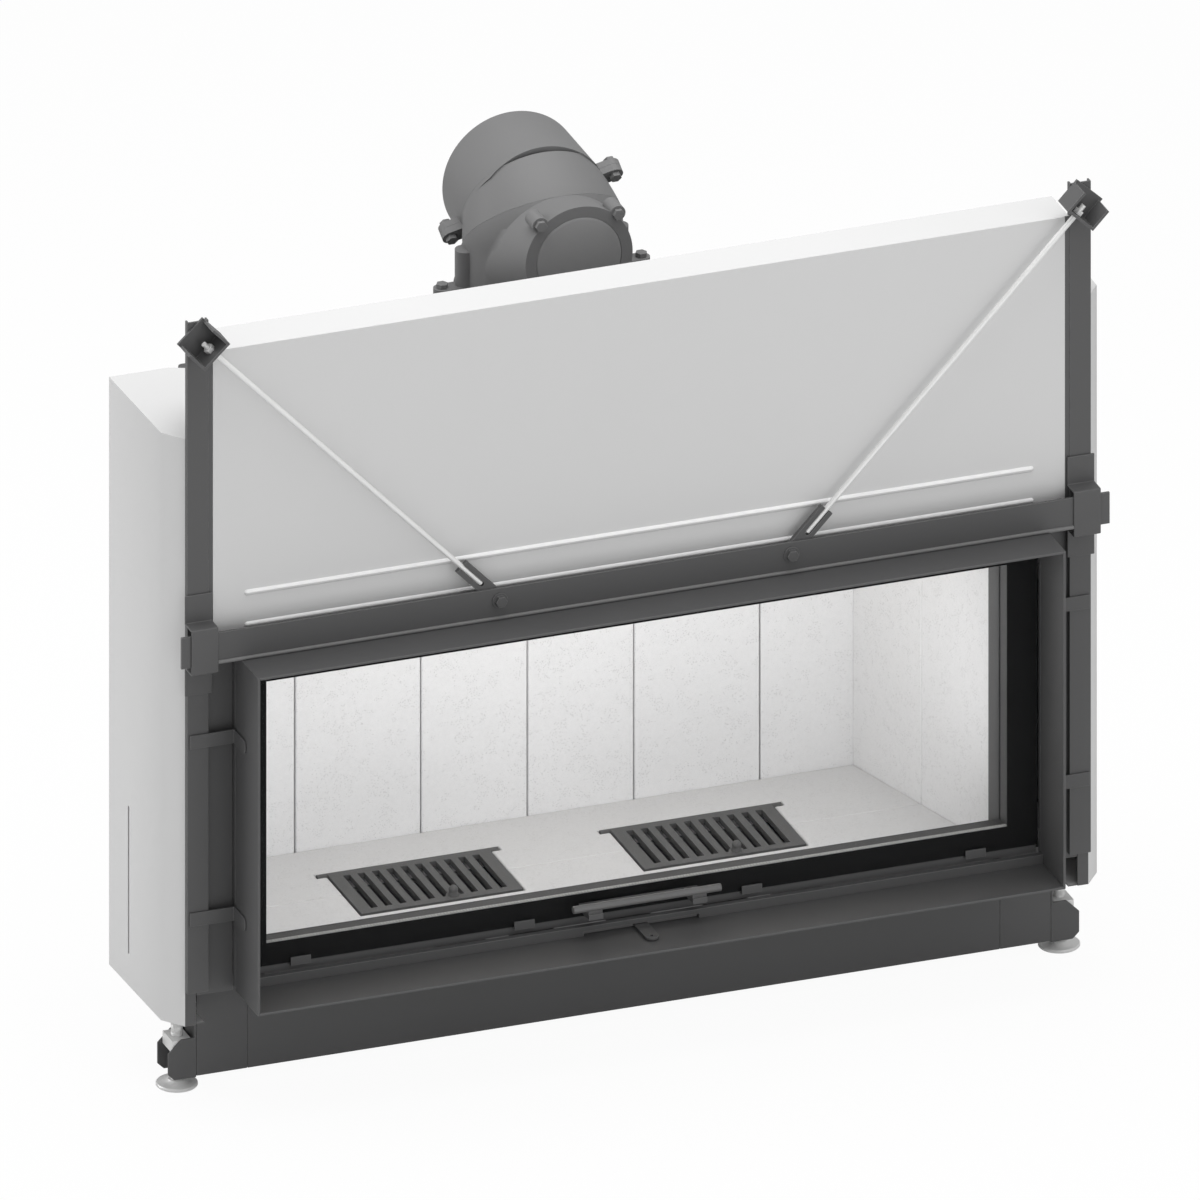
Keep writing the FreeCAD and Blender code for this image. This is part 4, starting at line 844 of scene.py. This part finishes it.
@cache
def rope_tree() -> ShapeTree:
    """Makes the tree that lays strands round the carrier's paths.

    Returns:
        The tree.
    """
    tree = ShapeTree("wire_rope", {"Radius": 0.002, "Lay": 0.024, "Step": 0.002})
    strand = tree.math("DIVIDE", tree.given("Radius"), 3.0)
    copies = tree.add("GeometryNodeDuplicateElements", domain="SPLINE", Geometry=tree.even_paths(),
                      Amount=STRANDS)
    share = tree.math("DIVIDE", copies.outputs["Duplicate Index"], STRANDS)
    wound = tree.math("DIVIDE", tree.add("GeometryNodeSplineParameter").outputs["Length"], tree.given("Lay"))
    angle = tree.math("MULTIPLY", tree.math("ADD", share, wound), 2 * math.pi)
    normal = tree.add("GeometryNodeInputNormal").outputs["Normal"]
    tangent = tree.add("GeometryNodeInputTangent").outputs["Tangent"]
    across = tree.vector("CROSS_PRODUCT", tangent, normal)
    offset = tree.vector("ADD", tree.vector("SCALE", normal, tree.math("COSINE", angle)),
                         tree.vector("SCALE", across, tree.math("SINE", angle)))
    reach = tree.vector("SCALE", offset, tree.math("MULTIPLY", strand, 2.0))
    moved = tree.get("GeometryNodeSetPosition", Geometry=copies.outputs[0], Offset=reach)
    return tree.end(tree.sweep(moved, strand, 6))


@cache
def weld_tree() -> ShapeTree:
    """Makes the tree that lays a weld bead of overlapping ripples along the carrier's paths.

    Returns:
        The tree.
    """
    tree = ShapeTree("weld_beads", {"Width": 0.006, "Step": 0.003})
    drop = tree.get("GeometryNodeMeshUVSphere", Segments=8, Rings=5,
                    Radius=tree.math("MULTIPLY", tree.given("Width"), 0.5))
    flat = tree.get("GeometryNodeTransform", Geometry=drop, Scale=(0.8, 1.0, 1.0))
    tangent = tree.add("GeometryNodeInputTangent").outputs["Tangent"]
    along = tree.get("FunctionNodeAlignRotationToVector", axis="X", Vector=tangent)
    return tree.end(tree.get("GeometryNodeInstanceOnPoints", Points=tree.even_paths(), Instance=flat,
                             Rotation=along))


@dataclass(frozen=True)
class Head:
    """Round screw or rivet head with a six-sided recess, in metres."""

    radius: float
    height: float
    recess: float

    def mesh(self, name: str) -> Mesh:
        """Makes the head, seated on the plane of its spot.

        Args:
            name: The mesh's name.

        Returns:
            The mesh.
        """
        r, h = self.radius, self.height
        crown = [(Outline.ROUND, share * r, rise * h)
                 for share, rise in ((1.0, -0.1), (1.0, 0.3), (0.93, 0.62), (0.78, 0.87), (0.62, 1.0))]
        socket = [(Outline.HEX, self.recess, h), (Outline.HEX, self.recess, 0.45 * h)]
        return ring_stack(name, crown + socket, 12)


RIVET = Head(3.6 * MM, 1.5 * MM, 1.0 * MM)
BUTTON = Head(5.5 * MM, 3.0 * MM, 2.4 * MM)


def fasteners(name: str, body: str, head: Head, spots: Sequence[Spot], finish: Finish) -> None:
    """Adds one piece that holds a head at every spot.

    Args:
        name: The piece's name.
        body: The body that it rides on.
        head: The kind of head.
        spots: Where the heads sit.
        finish: Their finish.
    """
    source = linked(name + "_head", head.mesh(name + "_head"))
    mesh = fastener_tree().run(name, spot_mesh(name, spots), finish, {"Head": source})
    bpy.data.objects.remove(source)
    place(name, mesh, body, finish)


def welds(name: str, body: str, runs: Sequence[Sequence[Sequence[float]]], width: float,
          finish: Finish) -> None:
    """Adds one piece that holds weld beads along runs of points, in metres."""
    sizes = {"Width": width, "Step": width * BEAD_SPACING}
    place(name, weld_tree().run(name, path_mesh(name, runs), finish, sizes), body, finish)


def level_span(node: str, axis: int, level: float) -> tuple[Vector, Vector]:
    """Returns the lowest and the highest corner of a CAD node's points at one level.

    Args:
        node: The node's name.
        axis: 0, 1 or 2 for X, Y or Z.
        level: Where the points lie on that axis, in metres.

    Returns:
        The two corners.
    """
    points = [v.co for v in frame["nodes"][node].data.vertices if abs(v.co[axis] - level) < TOUCH]
    return tuple(Vector([pick(p[i] for p in points) for i in range(3)]) for pick in (min, max))


# Sub-assemblies


DARK_PLATE = (DARK_PAINT, Ease.PLATE)
DARK_SHEET = (DARK_PAINT, Ease.SHEET)
PALE_CASE = (PALE_SHEET, Ease.SHEET)
FINE_ZINC = (ZINC, Ease.FINE)
FEET = tuple(f"foot_{end}_{side}" for end in ("front", "rear") for side in ("left", "right"))


class SubAssembly:
    """CAD nodes that are dressed together, with the details that their solids leave out."""

    looks: ClassVar[dict[str, tuple[Finish | ClearGlass, Ease | None]]] = {}

    def build(self) -> None:
        """Dresses every node, rounds its edges where the table gives a radius, and adds the details."""
        for node, (finish, ease) in self.looks.items():
            dress(frame["nodes"][node], finish)
            LOG.info("dressed %s", node)
            if ease:
                mesh = eased_mesh(node, ease.value * MM)
                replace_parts(place(node + "_eased", mesh, body_of(node), finish), node)
        self.detail()

    def detail(self) -> None:
        """Adds the pieces that the solids leave out."""


@dataclass
class FrontFrame(SubAssembly):
    """Mitred sleeve, posts, plates, straps, lintel rail and sill."""

    hem_radius: float = 3 * MM

    looks = {
        "front_frame": DARK_PLATE, "posts": DARK_PLATE, "front_plates": DARK_SHEET,
        "frame_straps": DARK_SHEET, "lintel_rail": DARK_PLATE, "rail_clips": DARK_PLATE, "sill": DARK_SHEET,
    }

    def detail(self) -> None:
        """Rolls a hem along the foot of the lintel rail, from clip to clip, in a lighter paint that is a painted
        highlight on its bend.
        """
        low = corners("lintel_rail")[0]
        reach = min(abs(v.co.x) for v in frame["nodes"]["rail_clips"].data.vertices)
        hem = ring_stack("lintel_hem", [(Outline.ROUND, self.hem_radius, end) for end in (-reach, reach)])
        hem.transform(Matrix.Rotation(math.pi / 2, 4, "Y"))
        hem.transform(Matrix.Translation((0.0, low.y, low.z + self.hem_radius)))
        place("lintel_hem", hem, body_of("lintel_rail"), HEM_HIGHLIGHT_PAINT)


@dataclass
class Hood(SubAssembly):
    """Hood panel with its pressed beads, and the sheets behind it."""

    rivet_inset: float = 13 * MM
    rivets_across: int = 13
    rivets_up: int = 6
    bead_slope: float = 0.2
    end_room: float = 20 * MM

    looks = {"hood_panel": (PALE_SHEET, Ease.FINE), "hood_shell": PALE_CASE}

    def detail(self) -> None:
        """Paints a highlight on the beads' upper sides with a lighter sheet, and rivets the rear sheet round its
        edge.
        """
        top = corners("hood_panel")[1].z - self.rivet_inset
        # Bead faces that face up take the lighter sheet: painted highlight.
        repaint("hood_panel", BEAD_HIGHLIGHT_SHEET,
                lambda face: face.normal.z > self.bead_slope and face.center.z < top)
        low, high = corners("hood_shell")
        half = max(abs(v.co.x) for v in frame["nodes"]["hood_shell"].data.vertices
                   if v.co.y > high.y - TOUCH and v.co.z < low.z + TOUCH
                   and abs(v.co.x) < high.x - self.end_room)
        x, z0, z1 = half - self.rivet_inset, low.z + self.rivet_inset, high.z - self.rivet_inset
        spots = []
        for z in (z1, z0):
            spots += spot_row((-x, high.y, z), (x, high.y, z), self.rivets_across)
        for side in (-x, x):
            spots += spot_row((side, high.y, z0), (side, high.y, z1), self.rivets_up)[1:-1]
        fasteners("hood_rivets", body_of("hood_shell"), RIVET, spots, ZINC)


@dataclass
class Braces(SubAssembly):
    """Tie rods with forks, corner brackets, bolts and nuts."""

    nut_level: float = 1.0

    looks = {
        "tie_rods": FINE_ZINC, "tie_forks": (DARK_PAINT, Ease.FINE),
        "corner_brackets": DARK_SHEET, "brace_fasteners": (DARK_PAINT, Ease.FINE),
    }

    def detail(self) -> None:
        """Gives the nuts at the upper rod ends their zinc."""
        repaint("brace_fasteners", ZINC, lambda face: face.center.z > self.nut_level)


@dataclass
class Casings(SubAssembly):
    """Pale casings over the counterweights, and the weights."""

    screw_inset: float = 14 * MM
    screws: int = 7
    lip_gap: float = 1.5 * MM
    lip_depth: float = -150 * MM

    looks = {
        "side_casing_left": PALE_CASE, "side_casing_right": PALE_CASE,
        "counterweight_left": (RAW_STEEL, Ease.PLATE), "counterweight_right": (RAW_STEEL, Ease.PLATE),
    }

    def detail(self) -> None:
        """Paints the lips behind the posts dark, and screws each casing along the edges of its rear face."""
        spots = []
        for node in ("side_casing_left", "side_casing_right"):
            repaint(node, DARK_PAINT, self.on_lip)
            rear = corners(node)[1].y
            low, high = level_span(node, 1, rear)
            z0, z1 = low.z + 2 * self.screw_inset, high.z - 2 * self.screw_inset
            for x in (low.x + self.screw_inset, high.x - self.screw_inset):
                spots += spot_row((x, rear, z0), (x, rear, z1), self.screws)
        fasteners("casing_screws", body_of("side_casing_left"), BUTTON, spots, ZINC)

    def on_lip(self, face: MeshPolygon) -> bool:
        """Says whether a face of a casing lies behind the post beside it."""
        inner = corners("posts")[1].x - self.lip_gap
        return abs(face.center.x) < inner and face.center.y < self.lip_depth


@dataclass
class Firebox(SubAssembly):
    """Welded steel firebox with its front, floor, roof, insulation, baffle and ash pans."""

    seam_width: float = 6 * MM
    stitch: float = 45 * MM
    stitches: int = 5
    ring_steps: int = 48

    looks = {
        "firebox_front": DARK_SHEET, "firebox_shell": DARK_SHEET, "firebox_top": DARK_SHEET,
        "firebox_floor": (DARK_PAINT, None), "back_insulation": (BOARD, None),
        "baffle_plate": (BOARD, Ease.BRICK), "ash_pans": DARK_SHEET,
    }

    def detail(self) -> None:
        """Welds the roof to the walls, the base ring to the roof, and stitches the ribs to the back."""
        low, high = corners("firebox_top")
        back = level_span("firebox_top", 1, high.y)[1].x
        seam = [(-high.x, low.y, low.z), (-back, high.y, low.z),
                (back, high.y, low.z), (high.x, low.y, low.z)]
        runs = [seam, self.ring_seam(high.z)] + self.rib_stitches(high.y)
        welds("firebox_welds", body_of("firebox_shell"), runs, self.seam_width, DARK_PAINT)

    def ring_seam(self, level: float) -> list[Point]:
        """Traces the circle where the base ring stands on the roof.

        Args:
            level: The roof's height in metres.

        Returns:
            Points of the closed run.
        """
        low, high = corners("dome_base_ring")
        middle, radius = (low + high) / 2, (high.x - low.x) / 2
        angles = [2 * math.pi * step / self.ring_steps for step in range(self.ring_steps + 1)]
        return [(middle.x + radius * math.cos(a), middle.y + radius * math.sin(a), level) for a in angles]

    def rib_stitches(self, back: float) -> list[list[Point]]:
        """Spaces short runs along both sides of each rib on the back wall.

        Args:
            back: Where the wall lies on Y, in metres.

        Returns:
            The two ends of each run.
        """
        low, high = level_span("firebox_shell", 1, corners("firebox_shell")[1].y)
        edges = sorted({round(v.co.x, 4) for v in frame["nodes"]["firebox_shell"].data.vertices
                        if v.co.y > back + TOUCH})
        room = (high.z - low.z - self.stitch) / (self.stitches - 1)
        starts = [low.z + step * room for step in range(self.stitches)]
        return [[(x, back, z), (x, back, z + self.stitch)] for x in edges for z in starts]


class Lining(SubAssembly):
    """Fire bricks of the back, the sides and the floor."""

    # The floor bricks take the darker copy of the brick: painted shade.
    looks = {"back_bricks": (BRICK, Ease.BRICK), "side_bricks": (BRICK, Ease.BRICK),
             "floor_bricks": (SHADED_HEARTH_BRICK, Ease.BRICK)}


class Grates(SubAssembly):
    """Two cast grates that tip up on their ears."""

    looks = {"grate_left": (GRATE_IRON, Ease.PLATE), "grate_right": (GRATE_IRON, Ease.PLATE)}


class Door(SubAssembly):
    """Lift door: glass with its printed border, frame, seal, clips, handle, shoes and rope anchors."""

    looks = {
        "door_glass": (GLASS, Ease.GLASS), "glass_mask": (PRINT, None),
        "door_frame": DARK_PLATE, "door_seals": (FIBRE, Ease.CAST), "glass_clips": (DARK_PAINT, Ease.FINE),
        "handle_bar": (FRONT_PAINT, Ease.SHEET), "handle_brackets": DARK_SHEET,
        "guide_shoes": (DARK_PAINT, Ease.FINE), "rope_anchors": FINE_ZINC,
    }


@dataclass
class LiftGear(SubAssembly):
    """Guides, pulleys, their shaft and the wire ropes between the door and the counterweights."""

    rope_radius: float = 2 * MM
    lay: float = 24 * MM
    step: float = 2.4 * MM
    wrap_steps: int = 18

    looks = {"lift_guides": FINE_ZINC, "lift_pulleys": FINE_ZINC,
             "sync_shaft": FINE_ZINC, "lift_ropes": (ROPE_STEEL, None)}

    def detail(self) -> None:
        """Lays a wire rope on each side: up from the door, over the pulley and down to the weight."""
        low, high = corners("lift_ropes")
        turn = (high.y - low.y) / 2 - self.rope_radius
        reach = high.x - self.rope_radius
        for side, x in (("left", -reach), ("right", reach)):
            axle = Vector((x, (low.y + high.y) / 2, high.z - self.rope_radius - turn))
            weight = "counterweight_" + side
            front, rear = axle - Vector((0, turn, 0)), axle + Vector((0, turn, 0))
            wrap = [axle - Vector((0, turn * math.cos(a), -turn * math.sin(a)))
                    for a in (math.pi * step / self.wrap_steps for step in range(self.wrap_steps + 1))]
            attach(self.rope("rope_wrap_" + side, wrap), "body")
            anchor = Vector((x, front.y, low.z))
            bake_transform(self.rope("rope_front_" + side, [front, anchor]), "body", "door", start=front, end=anchor)
            hanger = Vector((x, rear.y, corners(weight)[1].z))
            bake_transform(self.rope("rope_rear_" + side, [rear, hanger]), "body", weight, start=rear, end=hanger)

    def rope(self, name: str, path: Sequence[Vector]) -> Object:
        """Makes one stretch of rope.

        Args:
            name: The piece's name.
            path: Points that it follows, in metres.

        Returns:
            The piece, which rides on nothing yet.
        """
        sizes = {"Radius": self.rope_radius, "Lay": self.lay, "Step": self.step}
        mesh = rope_tree().run(name, path_mesh(name, [path]), ROPE_STEEL, sizes)
        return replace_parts(show(name, mesh, ROPE_STEEL), "lift_ropes")


class AirControl(SubAssembly):
    """Air lever, ported slide, duct and chamber."""

    looks = {"air_lever": DARK_SHEET, "air_slide": (RAW_STEEL, Ease.FINE),
             "air_duct": DARK_SHEET, "air_chamber": DARK_SHEET}


@dataclass
class Base(SubAssembly):
    """Plinth, foot brackets, nuts and the screwed feet."""

    rim_height: float = 5 * MM
    rim_width: float = 6 * MM
    rim_ease: float = 1.5 * MM
    edge_ease: float = 1 * MM
    shoulder_radius: float = 13.5 * MM
    shoulder_flare: float = 4 * MM
    spindle_radius: float = 9 * MM
    pitch: float = 2 * MM

    looks = {"plinth": DARK_PLATE, "foot_brackets": DARK_PLATE, "foot_nuts": (ZINC, Ease.SHEET),
             **dict.fromkeys(FEET, (ZINC, None))}

    def detail(self) -> None:
        """Replaces each foot with a dished disc on a threaded spindle."""
        for node in FEET:
            self.foot(node)

    def foot(self, node: str) -> None:
        """Makes one foot in place of its CAD node.

        Args:
            node: The node's name.
        """
        low, high = corners(node)
        middle, disc = (low + high) / 2, (high.x - low.x) / 2
        rim, core, top = self.rim_height, self.spindle_radius - self.pitch / 2, high.z - low.z
        edge, neck = self.edge_ease, self.shoulder_radius
        profile = [(disc - edge, 0.0), (disc, edge), (disc, rim - self.rim_ease), (disc - self.rim_ease, rim),
                   (disc - self.rim_width, rim), (neck + self.shoulder_flare, rim + edge),
                   (neck, 2 * rim - edge), (neck - edge, 2 * rim),
                   (core, 2 * rim), (core, top - edge), (core - edge, top)]
        mesh = ring_stack(node + "_disc", [(Outline.ROUND, radius, z) for radius, z in profile], 48)
        mesh.transform(Matrix.Translation((middle.x, middle.y, low.z)))
        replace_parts(place(node + "_disc", mesh, body_of(node), ZINC), node)
        start = Spot((middle.x, middle.y, low.z + 2 * rim), Axis.UP.value)
        length = top - 2 * rim - 2 * self.pitch
        sizes = {"Radius": self.spindle_radius, "Pitch": self.pitch, "Length": length}
        thread = thread_tree().run(node + "_thread", spot_mesh(node + "_thread", [start]), ZINC, sizes)
        place(node + "_thread", thread, body_of(node), ZINC)


class Flue(SubAssembly):
    """Base ring, swivelling dome with its hatch, and the elbow with its eared collar."""

    looks = {
        "dome_base_ring": (CAST_IRON, Ease.CAST), "dome_casting": (CAST_IRON, Ease.CAST),
        # The hatch lid takes the lighter cast iron: painted light.
        "hatch_lid": (LID_IRON_PAINTED_LIGHT, Ease.PLATE), "dome_bolts": (CAST_IRON, Ease.SHEET),
        "elbow_neck": (CAST_IRON, Ease.CAST), "outlet_collar": (CAST_IRON, Ease.PLATE),
        "collar_bolts": (CAST_IRON, Ease.SHEET),
    }


# Studio


@dataclass(frozen=True)
class Panel:
    """Soft rectangular lamp: its place and size in metres, power in watts, and the point that it looks at."""

    name: str
    place: Point
    width: float
    height: float
    power: float
    aim: Point


@dataclass
class Studio:
    """Pale floor, soft light and the camera of the picture, which is an orthographic one."""

    azimuth: float = -20.4
    elevation: float = 25.1
    picture_width: float = 1.740
    target: ClassVar[Point] = (0.0, -0.057, 0.631)
    distance: float = 6.0
    floor_half: float = 30.0
    floor_colour: Colour = (0.86, 0.86, 0.86)
    floor_glow: float = 0.95
    sky: float = 0.55
    panels: tuple[Panel, ...] = (
        Panel("overhead", (0.0, 0.1, 3.6), 3.0, 3.0, 78.0, target),
        Panel("left_rear", (-3.4, 2.0, 1.9), 2.0, 2.0, 44.0, target),
        Panel("right_front", (1.9, -3.8, 3.0), 4.5, 4.5, 38.0, target),
        Panel("low_front", (0.3, -4.6, 0.75), 2.5, 2.5, 28.0, target),
        Panel("hearth", (0.0, -0.17, 0.45), 1.1, 0.4, 1.5, (0.0, 0.3, 0.45)),
    )
    glow_power: float = 0.5
    glow_radius: float = 0.18
    glow_places: tuple[Point, ...] = ((-0.3, -0.05, 0.55), (0.0, -0.05, 0.55), (0.3, -0.05, 0.55))

    def direction(self) -> Vector:
        """Returns the unit vector from the target to the camera."""
        turn, rise = math.radians(self.azimuth), math.radians(self.elevation)
        return Vector((math.sin(turn) * math.cos(rise), -math.cos(turn) * math.cos(rise), math.sin(rise)))

    def build(self) -> None:
        """Adds the camera, the lamps, the world and the floor."""
        self.add_camera()
        self.add_world()
        self.add_lamps()
        self.add_floor()
        bpy.context.scene.view_settings.view_transform = "Standard"

    def add_camera(self) -> None:
        """Adds the orthographic camera at the picture's angle."""
        data = bpy.data.cameras.new("picture_camera")
        data.type = "ORTHO"
        data.ortho_scale = self.picture_width
        camera = linked("picture_camera", data)
        camera.location = Vector(self.target) + self.direction() * self.distance
        camera.rotation_euler = (-self.direction()).to_track_quat("-Z", "Y").to_euler()
        bpy.context.scene.camera = camera

    def add_world(self) -> None:
        """Adds an even sky that shows as white."""
        world = bpy.data.worlds.new("studio_sky")
        world.use_nodes = True
        graph = Graph(world.node_tree)
        world.node_tree.nodes.clear()
        lit = graph.add("ShaderNodeBackground", Color=WHITE, Strength=self.sky)
        seen = graph.add("ShaderNodeBackground", Color=WHITE, Strength=1.0)
        path = graph.add("ShaderNodeLightPath")
        sharp = graph.math("MAXIMUM", path.outputs["Is Camera Ray"], path.outputs["Is Transmission Ray"])
        sky = graph.blend(sharp, lit, seen)
        graph.link(sky.outputs[0], graph.add("ShaderNodeOutputWorld").inputs[0])
        bpy.context.scene.world = world

    def add_lamp(self, data: Light, place: Point, power: float) -> Object:
        """Adds a lamp that the camera doesn't see.

        Args:
            data: The lamp's light.
            place: Its place in metres.
            power: Its power in watts.

        Returns:
            The lamp.
        """
        data.energy = power
        lamp = linked(data.name, data)
        lamp.location = place
        lamp.visible_camera = False
        return lamp

    def add_lamps(self) -> None:
        """Adds the soft panels, and the round lamps in the firebox."""
        for panel in self.panels:
            data = bpy.data.lights.new(panel.name, "AREA")
            data.shape = "RECTANGLE"
            data.size, data.size_y = panel.width, panel.height
            lamp = self.add_lamp(data, panel.place, panel.power)
            way = Vector(panel.aim) - Vector(panel.place)
            lamp.rotation_euler = way.to_track_quat("-Z", "Y").to_euler()
        for place in self.glow_places:
            data = bpy.data.lights.new("hearth_glow", "POINT")
            data.shadow_soft_size = self.glow_radius
            self.add_lamp(data, place, self.glow_power)

    def add_floor(self) -> None:
        """Adds a pale floor that shows nearly white, keeps a faint shadow, and is clear from below."""
        half = self.floor_half
        plan = [(-half, -half, 0.0), (half, -half, 0.0), (half, half, 0.0), (-half, half, 0.0)]
        mesh = bpy.data.meshes.new("studio_floor")
        mesh.from_pydata(plan, [], [(0, 1, 2, 3)])
        floor = linked("studio_floor", mesh)
        material = bpy.data.materials.new("studio_floor")
        material.use_nodes = True
        graph = Graph(material.node_tree)
        material.node_tree.nodes.clear()
        matt = graph.add("ShaderNodeBsdfDiffuse", Color=(*self.floor_colour, 1.0))
        glow = graph.add("ShaderNodeEmission", Color=WHITE, Strength=1.0)
        seen = graph.add("ShaderNodeLightPath").outputs["Is Camera Ray"]
        top = graph.blend(graph.math("MULTIPLY", seen, self.floor_glow), matt, glow)
        below = graph.add("ShaderNodeNewGeometry").outputs["Backfacing"]
        sides = graph.blend(below, top, graph.add("ShaderNodeBsdfTransparent"))
        graph.link(sides.outputs[0], graph.add("ShaderNodeOutputMaterial").inputs[0])
        floor.data.materials.append(material)


def main() -> None:
    """Builds the studio and dresses the insert, piece by piece."""
    logging.basicConfig(level=logging.INFO, format="%(name)s: %(message)s")
    Studio().build()
    for part in (FrontFrame, Hood, Braces, Casings, Firebox, Lining, Grates, Door, LiftGear, AirControl,
                 Base, Flue):
        part().build()


if __name__ == "__main__":
    main()
